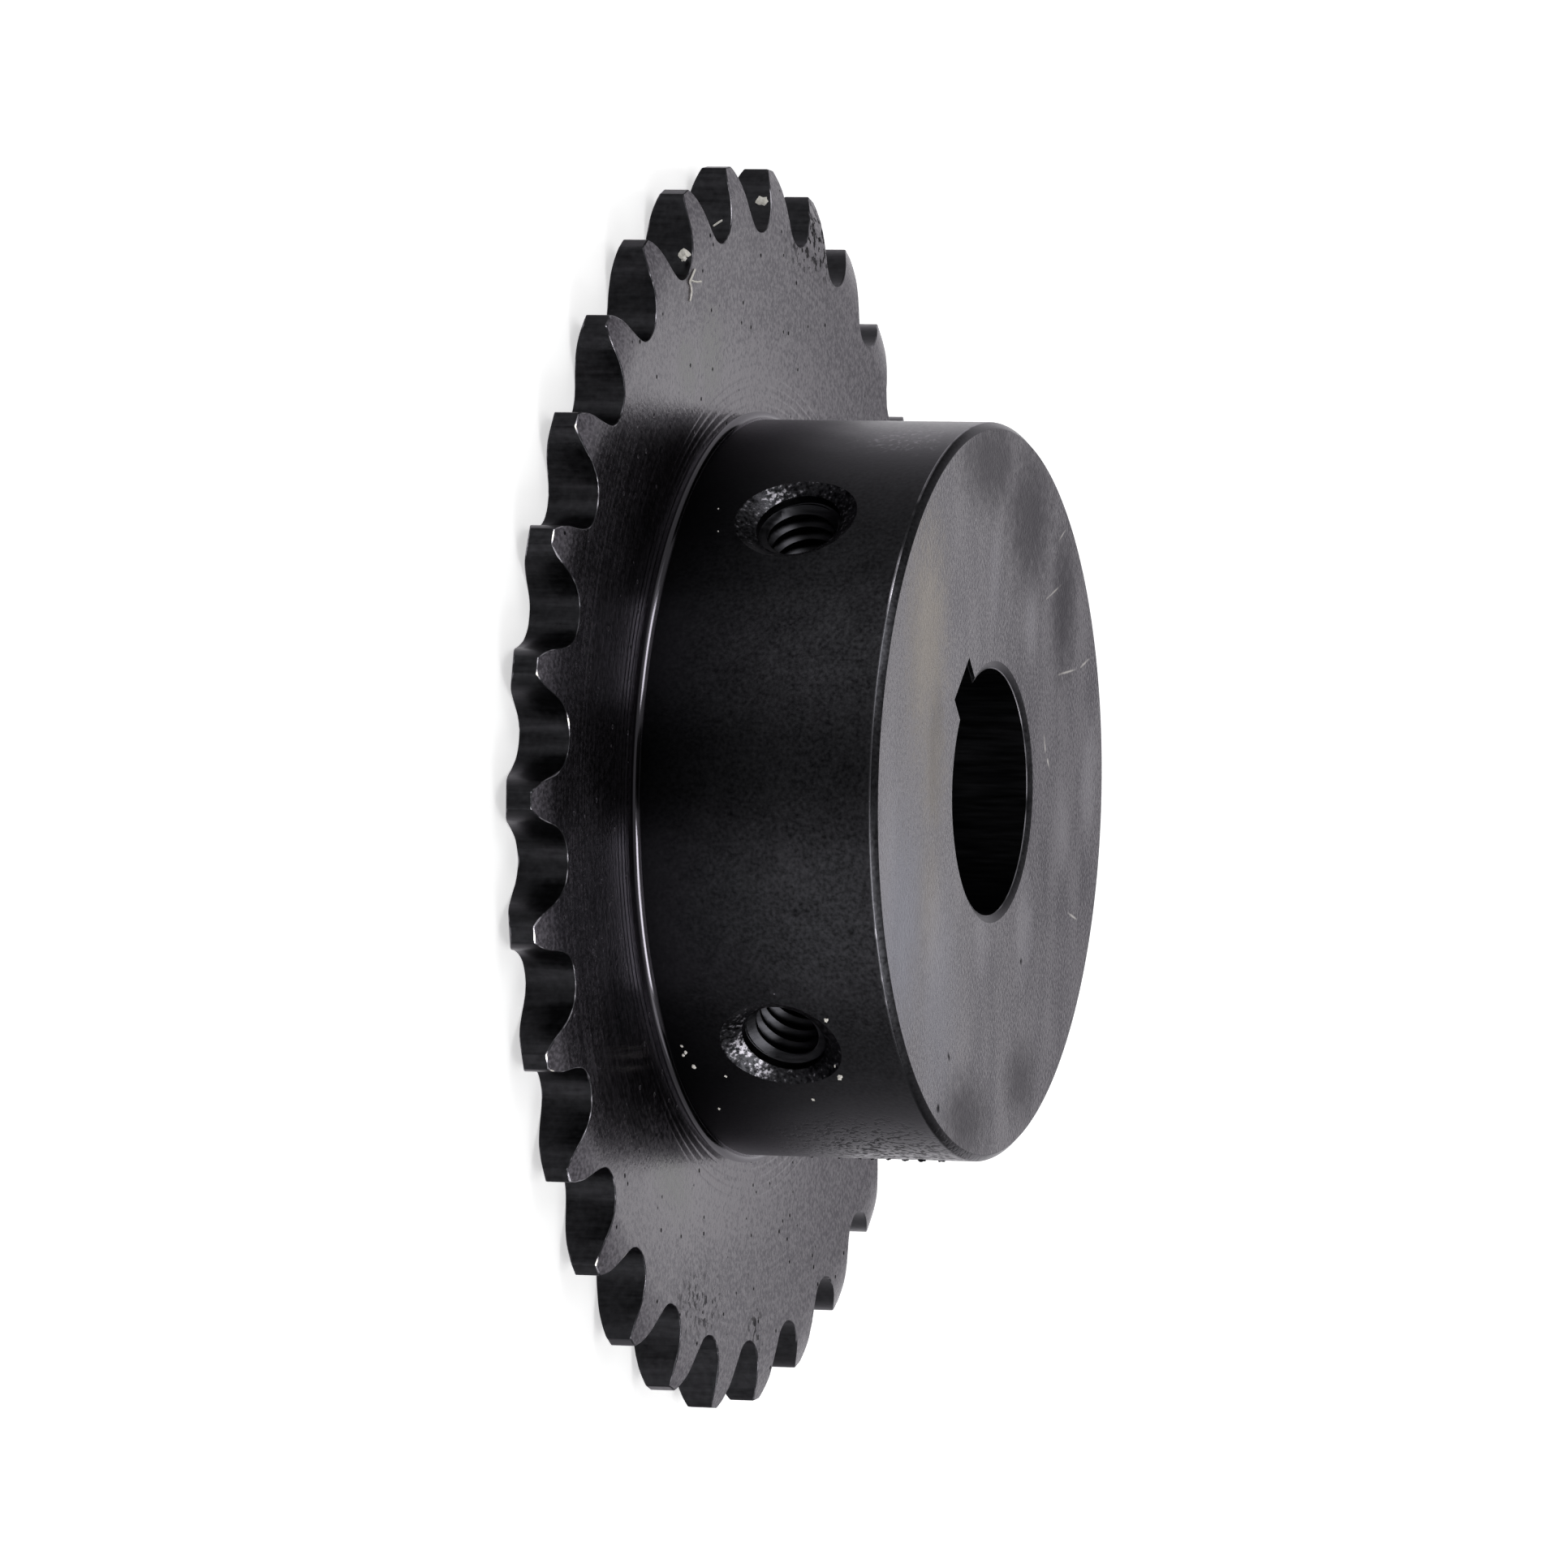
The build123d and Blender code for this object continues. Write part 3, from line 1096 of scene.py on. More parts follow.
@dataclass
class Sprocket:
    """The sprocket: a toothed plate with a hub on one side, bored and keyed.

    All sizes are millimetres, and the part lies on its back face with the keyway along +X. The
    leans are how far the faces' normals tip towards the bore, in degrees, and the breaks are the
    widths of broken edges.
    """

    form: ToothForm = field(default_factory=ToothForm)
    plate: float = 4.05
    rounding_depth: float = 4.7625
    rounding_width: float = 1.05
    hub_chamfer: float = 0.5
    root_fillet: float = 0.6
    bore_radius: float = 9.525
    bore_mouth: float = 0.575
    bore_sink: float = 0.28
    key_half_width: float = 2.38
    key_floor: float = 11.905
    face_lean: float = 4.0
    plate_lean: float = 5.2
    edge_break: tuple[float, float] = (0.06, 0.15)
    corner_break: float = 0.1
    mouth_break: float = 0.06
    # Radii and heights of the rings of points that divide the plain runs.
    web_rings: tuple[float, ...] = (42.4, 41.9, 41.3, 38.0, 34.5)
    wall_rings: tuple[float, ...] = (6.5, 9.0, 11.5, 14.0, 16.5, 19.0, 21.3)
    face_rings: tuple[float, ...] = (24.0, 19.0, 14.5)
    bore_rings: tuple[float, ...] = (16.0, 10.0, 5.0)
    back_rings: tuple[float, ...] = (15.0, 28.0)
    side_steps: int = 8
    # Shallow grooves that the facing tool left round the hub: radius, depth and half width.
    grooves: tuple[Point, ...] = (
        (31.9, 0.008, 0.12),
        (31.2, 0.016, 0.16),
        (30.5, 0.02, 0.18),
        (29.75, 0.03, 0.2),
    )

    def __post_init__(self) -> None:
        """Lays out the teeth, with the outward direction at each point."""
        self.outline, self.outward = self.form.outline()

    @property
    def rounding_radius(self) -> float:
        """Radius of the arc that rounds the sides off towards the tips."""
        return (self.rounding_depth**2 + self.rounding_width**2) / (2 * self.rounding_width)

    def beyond(self, radius: np.ndarray) -> np.ndarray:
        """How far a radius lies outside the start of the sides' rounding."""
        return np.maximum(radius - (self.form.tip_radius - self.rounding_depth), 0)

    def side_height(self, radius: np.ndarray) -> np.ndarray:
        """How far a side falls back from its plane at a radius, by the rounding of the teeth."""
        arc = self.rounding_radius
        return arc - np.sqrt(arc**2 - self.beyond(radius) ** 2)

    def worn_width(self, points: np.ndarray, side: float) -> np.ndarray:
        """Width of the broken edge at each point of the outline, uneven as wear leaves it.

        Args:
            points: of the outline, one row each.
            side: of the plate, as a number that its wear is drawn from.

        Returns:
            The widths.
        """
        low, high = self.edge_break
        draws = [noise.noise(Vector((x * 0.9, y * 0.9, side))) for x, y in points]
        fine = [noise.noise(Vector((x * 3.1, y * 3.1, side + 7))) for x, y in points]
        share = np.clip(0.45 + 0.6 * np.array(draws) + 0.35 * np.array(fine), 0, 1)
        return low + (high - low) * share**2

    def key_angles(self, radius: float) -> tuple[float, float]:
        """Angles of the keyway's edge at a radius and of its floor's corner, in degrees."""
        edge = math.degrees(math.asin(self.key_half_width / radius))
        return edge, math.degrees(math.atan2(self.key_half_width, self.key_floor))

    def bore_outline(self, angles: np.ndarray, radius: float) -> np.ndarray:
        """Plan of the bore with its keyway.

        Args:
            angles: of its points, in degrees from the keyway's middle.
            radius: of the round part.

        Returns:
            One row a point.
        """
        turn = np.abs((angles + 180) % 360 - 180)
        reach = np.full(len(turn), radius)
        edge, corner = self.key_angles(radius)
        sides = (turn < edge - 1e-6) & (turn > corner)
        reach[sides] = self.key_half_width / np.sin(np.radians(turn[sides]))
        floor = turn <= corner
        reach[floor] = self.key_floor / np.cos(np.radians(turn[floor]))
        return polar(reach, angles)

    def bore_angles(self, spread: np.ndarray, radius: float) -> np.ndarray:
        """Moves the angles nearest the keyway's corners onto them.

        Args:
            spread: angles that are evenly spread, in degrees.
            radius: of the bore's round part.

        Returns:
            The angles.
        """
        edge, corner = self.key_angles(radius)
        moved = spread.copy()
        signed = (spread + 180) % 360 - 180
        for target in (edge, corner, -corner, -edge):
            moved[int(np.argmin(np.abs(signed - target)))] = target % 360
        return moved

    def skin(self) -> Shell:
        """Builds the closed skin before the screw holes.

        Returns:
            The skin.
        """
        shell = Shell()
        count = len(self.outline)
        spread = self.form.half_angle + np.arange(count) * 360 / count
        front = self.side_rings(shell, spread, front=True)
        back = self.side_rings(shell, spread, front=False)
        low = np.array([shell.points[i][2] for i in back[0]])
        high = np.array([shell.points[i][2] for i in front[0]])
        walls = [back[0]]
        for share in (0.25, 0.5, 0.75):
            walls.append(shell.ring(self.outline, low + (high - low) * share))
        walls.append(front[0])
        for lower, upper in zip(walls, walls[1:]):
            shell.band(lower, upper, Surface.TOOTH_FLANK)
        start = self.thin(shell, front[-1], spread, front=True)
        end = self.thin(shell, back[-1], spread, front=False)
        self.hub_rings(shell, spread[::4], start, end)
        return shell

    def side_rings(self, shell: Shell, spread: np.ndarray, front: bool) -> list[list[int]]:
        """Builds one side of the teeth, from the wall's edge in to the web.

        Args:
            shell: takes the points and faces.
            spread: angles of the points on the web's ring.
            front: whether it is the hub's side.

        Returns:
            The rings, from the wall inwards.
        """
        width = self.worn_width(self.outline, 1.0 if front else 2.0)[:, None]
        inner = self.outline - self.outward * width
        middle = self.outline - self.outward * width * 0.3
        web = polar(self.web_rings[0], spread)
        plans = [(self.outline, width[:, 0]), (middle, 0.3 * width[:, 0])]
        for step in range(self.side_steps + 1):
            plans.append((inner + (web - inner) * step / self.side_steps, 0 * width[:, 0]))
        rings = []
        for plan, sunk in plans:
            fall = self.side_height(np.linalg.norm(plan, axis=1)) + sunk
            rings.append(shell.ring(plan, self.plate - fall if front else fall))
        for i, pair in enumerate(zip(rings, rings[1:])):
            surface = Surface.TOOTH_EDGE if i < 2 else Surface.TOOTH_SIDE
            shell.band(*(pair if front else pair[::-1]), surface)
        return rings

    def thin(self, shell: Shell, web: list[int], spread: np.ndarray, front: bool) -> list[int]:
        """Halves the number of points twice, on the way in from the web's first ring.

        Args:
            shell: takes the points and faces.
            web: the first ring.
            spread: angles of its points.
            front: whether it is the hub's side.

        Returns:
            The last ring.
        """
        ring = web
        for radius, step in zip(self.web_rings[1:], (2, 4)):
            following = shell.ring(polar(radius, spread[::step]), self.plate if front else 0.0)
            shell.thin_out(ring, following, front)
            ring = following
        return ring

    def hub_section(self) -> list[tuple[float, float, Surface]]:
        """Half section of the hub from the plate's web to the bore's mouth.

        Returns:
            Radius, height and the surface that leads there.
        """
        plate, root, cut = self.plate, self.root_fillet, self.corner_break
        plain = [(radius, 0.0) for radius in self.web_rings[3:]]
        for radius, depth, half in self.grooves:
            for across, share in ((1, 0), (0.45, 0.8), (0, 1), (-0.45, 0.8), (-1, 0)):
                plain.append((radius + across * half, depth * share))
        plain.append((HUB_RADIUS + root, 0.0))
        section = [(radius, plate - depth, Surface.PLATE_FACE) for radius, depth in plain]
        for x, z in polar(root, np.linspace(270, 180, 8)[1:]):
            section.append((HUB_RADIUS + root + x, plate + root + z, Surface.HUB_ROOT))
        section += [(HUB_RADIUS, height, Surface.HUB_WALL) for height in self.wall_rings]
        # The chamfer and its broken corners, as distances in from the wall and down from the face.
        chamfer = self.hub_chamfer
        for inwards, down, surface in (
            (0.0, chamfer + cut, Surface.HUB_WALL),
            (0.2 * cut, chamfer + 0.2 * cut, Surface.HUB_CORNER),
            (0.5 * cut, chamfer - 0.5 * cut, Surface.HUB_CORNER),
            (chamfer - 0.3 * cut, 0.3 * cut, Surface.HUB_EDGE),
            (chamfer + 0.1 * cut, 0.1 * cut, Surface.HUB_EDGE),
            (chamfer + 0.4 * cut, 0.0, Surface.HUB_EDGE),
        ):
            section.append((HUB_RADIUS - inwards, LENGTH - down, surface))
        return section + [(radius, LENGTH, Surface.HUB_FACE) for radius in self.face_rings]

    def hub_rings(
        self, shell: Shell, angles: np.ndarray, start: list[int], end: list[int]
    ) -> None:
        """Builds the hub and the bore, and closes the skin on the back.

        Args:
            shell: takes the points and faces.
            angles: of the hub's points.
            start: ring on the plate's front.
            end: ring on the plate's back.
        """
        section = self.hub_section()
        steps = [(polar(radius, angles), height, surface) for radius, height, surface in section]
        mouth = self.bore_radius + self.bore_mouth
        narrow = self.bore_angles(angles, self.bore_radius)
        mouth_plan = self.bore_outline(self.bore_angles(angles, mouth), mouth)
        lip_plan = self.bore_outline(narrow, self.bore_radius + self.mouth_break)
        wall_plan = self.bore_outline(narrow, self.bore_radius)
        sink = LENGTH - self.bore_sink
        steps += [
            (mouth_plan, LENGTH, Surface.HUB_FACE),
            (lip_plan, sink, Surface.BORE_MOUTH),
            (wall_plan, sink - self.mouth_break, Surface.BORE_CORNER),
        ]
        steps += [(wall_plan, z, Surface.BORE) for z in (*self.bore_rings, self.bore_sink)]
        steps.append((mouth_plan, 0.0, Surface.BORE))
        steps += [(polar(radius, angles), 0.0, Surface.PLATE_FACE) for radius in self.back_rings]
        shell.band(shell.climb(start, steps), end, Surface.PLATE_FACE)


@dataclass
class TappedHole:
    """A radial set-screw hole with a real thread and a countersink.

    Args:
        bearing: of the hole round the bore, in degrees from the keyway.
        start: where the thread starts, in turns.
        height: of its axis over the back face.
        soft: how far the thread's crests are rounded over.
        columns: of points in a turn of the thread.
        inner_end: of the thread, from the bore's axis.
        outer_end: the same for its other end.
        overrun: of the tap's form past both ends.
    """

    bearing: float
    start: float = 0.0
    height: float = 13.6
    pitch: float = 1.27
    minor_radius: float = 2.55
    major_radius: float = 3.175
    flank_angle: float = 30.0
    soft: float = 0.035
    sink_radius: float = 4.8
    sink_half_angle: float = 60.0
    relief_radius: float = 3.3
    relief_depth: float = 0.7
    columns: int = 60
    sink_columns: int = 96
    inner_end: float = 7.6
    outer_end: float = 29.2
    overrun: float = 0.5

    def profile(self) -> list[tuple[float, float]]:
        """Form of the thread over one pitch.

        Returns:
            Distance along the hole and radius of each point.
        """
        run = (self.major_radius - self.minor_radius) * math.tan(math.radians(self.flank_angle))
        root = self.pitch / 8
        crest = self.pitch - root - 2 * run
        return [
            (0.0, self.minor_radius + self.soft),
            (self.soft, self.minor_radius),
            (crest - self.soft, self.minor_radius),
            (crest, self.minor_radius + self.soft),
            (crest + run, self.major_radius),
            (crest + run + root, self.major_radius),
        ]

    def thread(self) -> Shell:
        """Builds the tap's solid form, a closed screw along the +X axis.

        Returns:
            Its skin.
        """
        shell = Shell()
        profile = self.profile()
        turns = int((self.outer_end - self.inner_end) / self.pitch)
        total = turns * self.columns
        size = len(profile)
        for n in range(total + 1):
            turn = 2 * math.pi * (n / self.columns + self.start)
            for along, radius in profile:
                x = self.inner_end + self.pitch * n / self.columns + along
                shell.around(x, radius, turn)
        for n in range(total):
            for p in range(size - 1):
                a, b = n * size + p, (n + 1) * size + p
                shell.face((a, b, b + 1, a + 1), Surface.THREAD)
            if n + 1 + self.columns <= total:
                a, b = n * size + size - 1, (n + 1) * size + size - 1
                c, d = (n + 1 + self.columns) * size, (n + self.columns) * size
                shell.face((a, b, c, d), Surface.THREAD)
        first = [n * size for n in range(self.columns + 1)]
        first += [size - 1 - p for p in range(size - 1)]
        tail = total - self.columns
        last = [n * size + size - 1 for n in range(tail, total + 1)]
        last += [total * size + p for p in range(size - 2, -1, -1)]
        for loop, x, flip in (
            (first, self.inner_end - self.overrun, False),
            (last, self.inner_end + self.pitch * (turns + 1) + self.overrun, True),
        ):
            centre = shell.around(x, 0.0, 0.0)
            for a, b in zip(loop, loop[1:] + loop[:1]):
                shell.face((centre, a, b) if flip else (centre, b, a), Surface.THREAD)
        return shell

    def sink(self) -> Shell:
        """Builds the countersink's solid form, a closed cone that widens along the +X axis.

        Returns:
            Its skin.
        """
        shell = Shell()
        slope = math.tan(math.radians(self.sink_half_angle))
        apex = HUB_RADIUS - self.sink_radius / slope
        mouth = apex + self.relief_radius / slope
        section = [
            (mouth - self.relief_depth - 0.12, self.relief_radius - 0.3, Surface.THREAD),
            (mouth - self.relief_depth, self.relief_radius - 0.06, Surface.THREAD),
            (mouth - 0.05, self.relief_radius, Surface.THREAD),
            (mouth + 0.05, self.relief_radius + 0.1, Surface.COUNTERSINK),
        ]
        section += [(apex + x, x * slope, Surface.COUNTERSINK) for x in (2.3, 2.7, 3.8)]
        turns = [2 * math.pi * n / self.sink_columns for n in range(self.sink_columns)]
        rings = [[shell.around(x, radius, turn) for turn in turns] for x, radius, _ in section]
        for lower, upper, (_, _, surface) in zip(rings, rings[1:], section[1:]):
            shell.band(lower, upper, surface)
        shell.face(tuple(rings[0][::-1]), Surface.THREAD)
        shell.face(tuple(rings[-1]), Surface.COUNTERSINK)
        return shell

    def cutters(self) -> list[bpy.types.Object]:
        """Builds the forms to cut out, at their places.

        Returns:
            The countersink and the tap.
        """
        made = [self.sink().build("sink_cutter"), self.thread().build("thread_cutter")]
        lift = Matrix.Translation((0, 0, self.height * MM))
        for cutter in made:
            cutter.data.transform(Matrix.Rotation(math.radians(self.bearing), 4, "Z") @ lift)
        return made


def read(items: Any, name: str, width: int = 1, kind: type = np.float32) -> np.ndarray:
    """Reads one value of each item of a mesh.

    Args:
        items: such as the mesh's vertices.
        name: of the value.
        width: how many numbers it has.
        kind: of its numbers.

    Returns:
        One row an item.
    """
    values = np.zeros(len(items) * width, kind)
    items.foreach_get(name, values)
    return values.reshape(-1, width) if width > 1 else values


# Chips on the teeth's edges that are down to bright steel: place and reach. Those on the gullets'
# edges that face the camera are partly painted highlight.
CHIPS_AND_HIGHLIGHTS = (
    (46.93, 10.66, 2.6, 0.5),
    (47.0, 10.54, 3.0, 0.6),
    (45.07, 10.28, 3.69, 0.35),
    (43.95, 19.45, 3.05, 0.7),
    (43.89, 19.85, 2.18, 0.3),
    (38.44, 28.8, 3.06, 0.55),
    (32.97, 28.05, 3.6, 0.9),
    (35.18, 26.86, 3.9, 0.8),
    (25.46, 34.63, 3.6, 0.6),
    (23.92, 41.78, 3.01, 0.7),
    (15.22, 45.56, 3.06, 0.5),
    (14.09, 45.7, 3.15, 0.45),
    (-4.33, 47.68, 3.13, 0.5),
    (-6.53, 44.58, 3.93, 0.6),
    (-1.41, 43.39, 3.6, 0.4),
)


@dataclass
class DressedSprocket:
    """The sprocket with its screw holes cut and its surfaces dressed."""

    sprocket: Sprocket
    holes: list[TappedHole]
    finishes: dict[Finish, tuple[Surface, ...]]
    sharp_angle: float = 32.0

    def build(self) -> bpy.types.Object:
        """Builds the piece that stands for the CAD node.

        Returns:
            The object.
        """
        body = self.sprocket.skin().build("chain_sprocket")
        for hole in self.holes:
            for cutter in hole.cutters():
                self.cut(body, cutter)
        mesh = body.data
        surfaces = read(mesh.polygons, "material_index", kind=np.int32)
        self.shade(mesh, surfaces)
        mesh.materials.clear()
        chosen = np.zeros(len(Surface), np.int32)
        for slot, (finish, dressed) in enumerate(self.finishes.items()):
            mesh.materials.append(finish.material())
            chosen[list(dressed)] = slot
        mesh.polygons.foreach_set("material_index", chosen[surfaces])
        for material in stand_ins():
            bpy.data.materials.remove(material)
        self.wear(mesh)
        mesh.update()
        return body

    def wear(self, mesh: bpy.types.Mesh) -> None:
        """Stores how worn each point is, for the edges' finish.

        Args:
            mesh: the finished mesh.
        """
        places = read(mesh.vertices, "co", 3) / MM
        broad, coarse, fine = (
            np.array([noise.noise(Vector(p) * scale) for p in places]) for scale in (0.2, 0.7, 2.9)
        )
        teeth = np.clip(0.38 + 0.5 * coarse + 0.35 * fine, 0, 0.8)
        # The hub's corner is worn most beside the keyway.
        corner = 0.5 - 0.012 * places[:, 1]
        corner = np.clip(corner + 0.4 * broad + 0.4 * coarse, 0, 0.78)
        worn = np.where(places[:, 2] > self.sprocket.plate, corner, teeth)
        # Bright chips, of which those on the gullets' edges facing the camera are partly painted
        # highlight.
        for *spot, reach in CHIPS_AND_HIGHLIGHTS:
            away = np.linalg.norm(places - np.array(spot), axis=1) / (0.7 * reach)
            worn = np.maximum(worn, np.clip(1.6 - away - 0.6 * fine, 0, 1))
        stored = mesh.attributes.new(WEAR, "FLOAT", "POINT")
        stored.data.foreach_set("value", worn.astype(np.float32))

    def cut(self, body: bpy.types.Object, cutter: bpy.types.Object) -> None:
        """Cuts a closed form out of the body.

        Args:
            body: to cut.
            cutter: the closed form, which is removed afterwards.
        """
        change = body.modifiers.new("cut", "BOOLEAN")
        change.operation = "DIFFERENCE"
        change.solver = "EXACT"
        change.object = cutter
        graph = bpy.context.evaluated_depsgraph_get()
        made = bpy.data.meshes.new_from_object(body.evaluated_get(graph))
        old = body.data
        body.modifiers.clear()
        body.data = made
        bpy.data.meshes.remove(old)
        bpy.data.objects.remove(cutter)

    def shade(self, mesh: bpy.types.Mesh, surfaces: np.ndarray) -> None:
        """Gives each surface the exact normals of its form, so that cuts leave no dents.

        Args:
            mesh: the finished mesh.
            surfaces: the surface of each face.
        """
        mesh.polygons.foreach_set("use_smooth", [True] * len(mesh.polygons))
        mesh.set_sharp_from_angle(angle=math.radians(self.sharp_angle))
        normals = read(mesh.corner_normals, "vector", 3)
        places = read(mesh.vertices, "co", 3)[read(mesh.loops, "vertex_index", kind=np.int32)] / MM
        sizes = read(mesh.polygons, "loop_total", kind=np.int32)
        up = np.repeat(read(mesh.polygons, "normal", 3)[:, 2], sizes)
        kind = np.repeat(surfaces, sizes)
        radius = np.linalg.norm(places[:, :2], axis=1)
        radial = np.zeros((len(radius), 3))
        radial[:, :2] = places[:, :2] / radius[:, None]

        wall = kind == Surface.HUB_WALL
        normals[wall] = radial[wall]
        sprocket = self.sprocket
        # The facing tool's feed leaves a fine saw-tooth. Its long flanks lean towards the bore.
        face = kind == Surface.HUB_FACE
        saw = np.radians(np.where(face, sprocket.face_lean, sprocket.plate_lean))
        flat = np.abs(up) > 0.99999
        level = flat & (face | (kind == Surface.PLATE_FACE)) | (kind == Surface.TOOTH_SIDE)
        lean = np.arcsin(sprocket.beyond(radius) / sprocket.rounding_radius) - saw
        turned = radial * np.sin(lean)[:, None]
        turned[:, 2] = np.sign(up) * np.cos(lean)
        normals[level] = turned[level]
        known = {
            (round(float(x), 3), round(float(y), 3)): (float(u), float(v), 0.0)
            for (x, y), (u, v) in zip(sprocket.outline, sprocket.outward)
        }
        for i in np.nonzero(kind == Surface.TOOTH_FLANK)[0]:
            key = (round(float(places[i][0]), 3), round(float(places[i][1]), 3))
            normals[i] = known.get(key, normals[i])
        mesh.normals_split_custom_set(normals.tolist())


@dataclass(frozen=True)
class Crumb:
    """A crumb that sticks to the part, in millimetres.

    Args:
        place: of its middle.
        reach: half lengths out from the surface, across and along the bore's direction.
        facing: bearing that the surface faces, in degrees from the keyway.
        pale: whether it is dried paste, or else dark scale.
    """

    place: Point
    reach: Point
    facing: float
    pale: bool = True


@dataclass
class Grit:
    """Crumbs of dried cutting paste and dark scale, left where the wiping missed them.

    Args:
        crumbs: the crumbs.
        lumps: how far a crumb strays from a smooth form.
        seed: of the draws for each crumb's form.
    """

    crumbs: tuple[Crumb, ...]
    lumps: float = 0.75
    seed: int = 5

    def build(self, pale: bpy.types.Material, dark: bpy.types.Material) -> bpy.types.Object:
        """Builds all the crumbs as one piece.

        Args:
            pale: the dried paste.
            dark: the scale.

        Returns:
            The object.
        """
        draw = random.Random(self.seed)
        heap = bmesh.new()
        for crumb in self.crumbs:
            shift = Vector([draw.uniform(0, 50) for _ in range(3)])
            size = Matrix.Diagonal((*crumb.reach, 1.0))
            turn = Matrix.Rotation(math.radians(crumb.facing), 4, "Z")
            twist = Matrix.Rotation(draw.uniform(-0.6, 0.6), 4, "X")
            form = Matrix.Translation(Vector(crumb.place)) @ turn @ twist @ size
            made = bmesh.ops.create_icosphere(heap, subdivisions=2, radius=1.0)["verts"]
            for vertex in made:
                lump = 1 + self.lumps * noise.noise(vertex.co * 1.4 + shift)
                vertex.co = (form @ (vertex.co * lump)) * MM
            for face in {face for vertex in made for face in vertex.link_faces}:
                face.material_index = 0 if crumb.pale else 1
        mesh = bpy.data.meshes.new("grit")
        heap.to_mesh(mesh)
        heap.free()
        return add_object("grit", mesh, pale, dark)


@dataclass
class LintFibre:
    """Fibres of lint that lie on the part, as round threads.

    Args:
        runs: the points along each fibre, in millimetres.
        radius: of a fibre. A real one is about 0.01 mm, too fine to show, so it is drawn thicker.
    """

    runs: tuple[tuple[Point, ...], ...]
    radius: float = 0.085

    def build(self, lint: bpy.types.Material) -> bpy.types.Object:
        """Builds the fibres as one piece.

        Args:
            lint: their material.

        Returns:
            The object.
        """
        curve = bpy.data.curves.new("lint_path", "CURVE")
        curve.dimensions = "3D"
        curve.bevel_depth = self.radius * MM
        curve.bevel_resolution = 1
        curve.use_fill_caps = True
        for run in self.runs:
            spline = curve.splines.new("NURBS")
            spline.points.add(len(run) - 1)
            for point, spot in zip(spline.points, run):
                point.co = (*(c * MM for c in spot), 1.0)
            spline.order_u = 3
            spline.use_endpoint_u = True
            spline.resolution_u = 5
        path = add_object("lint_path", curve)
        graph = bpy.context.evaluated_depsgraph_get()
        mesh = bpy.data.meshes.new_from_object(path.evaluated_get(graph))
        bpy.data.objects.remove(path)
        mesh.materials.clear()
        return add_object("lint_fibre", mesh, lint)


def on_wall(bearing: float, height: float, size: float, pale: bool = True) -> Crumb:
    """A crumb on the hub's wall.

    Args:
        bearing: of its place, in degrees from the keyway.
        height: of its place over the back face.
        size: half its width.
        pale: whether it is dried paste.

    Returns:
        The crumb.
    """
    x, y = polar(HUB_RADIUS, bearing)
    return Crumb((float(x), float(y), height), (0.5 * size, 0.9 * size, 0.7 * size), bearing, pale)


# Places of the crumbs on the hub's wall: bearing, height and size.
PASTE_ON_WALL = (
    (90.4, 5.6, 0.16),
    (91.8, 5.76, 0.2),
    (92.4, 5.5, 0.17),
    (94.9, 6.04, 0.24),
    (97.1, 8.33, 0.15),
    (106.2, 6.58, 0.15),
    (102.6, 14.65, 0.16),
    (-1.4, 7.18, 0.09),
    (3.6, 7.83, 0.08),
)
SCALE_ON_WALL = (
    (134.0, 20.4, 0.24),
    (135.4, 19.9, 0.2),
    (132.6, 18.9, 0.4),
    (135.6, 18.3, 0.24),
    (133.4, 17.6, 0.18),
    (135.6, 17.0, 0.24),
    (131.9, 16.4, 0.2),
    (135.8, 15.6, 0.2),
    (134.2, 14.6, 0.22),
    (135.6, 13.4, 0.2),
    (136.2, 11.6, 0.2),
    (136.4, 9.3, 0.16),
)
CRUMBS = (
    *[on_wall(*spot) for spot in PASTE_ON_WALL],
    Crumb((4.0, 27.9, 11.5), (0.18, 0.3, 0.24), 90.0),
    Crumb((2.83, 28.36, 17.81), (0.12, 0.22, 0.16), 84.0),
    Crumb((-2.29, 28.1, 17.5), (0.2, 0.4, 0.24), 95.0),
    Crumb((-3.23, 28.32, 17.59), (0.16, 0.3, 0.2), 96.0),
    Crumb((31.83, -32.54, 3.1), (0.14, 0.42, 0.46), 26.0),
    Crumb((41.21, -15.56, 3.3), (0.14, 0.4, 0.5), 34.0),
    Crumb((41.35, -14.9, 3.5), (0.12, 0.2, 0.22), 34.0),
    *[on_wall(*spot, pale=False) for spot in SCALE_ON_WALL],
)

FIBRES = (
    (
        (40.16, -14.97, 4.1),
        (40.27, -13.79, 4.15),
        (40.32, -13.41, 4.12),
        (39.67, -13.5, 4.1),
        (39.26, -13.16, 4.12),
        (39.03, -12.62, 4.08),
    ),
    ((40.3, -13.6, 4.14), (39.27, -14.45, 4.12), (38.5, -15.49, 4.08)),
    ((37.2, -24.1, 3.25), (37.16, -23.9, 2.95), (37.0, -23.62, 2.6)),
)


# ---------------------------------------------------------------------------------------- studio


def add_sheet(name: str, corners: list[Point], material: bpy.types.Material) -> bpy.types.Object:
    """Adds a flat sheet to the scene.

    Args:
        name: of the sheet.
        corners: all four, in metres.
        material: that it is made of.

    Returns:
        The sheet.
    """
    mesh = bpy.data.meshes.new(name)
    mesh.from_pydata(corners, [], [(0, 1, 2, 3)])
    return add_object(name, mesh, material)


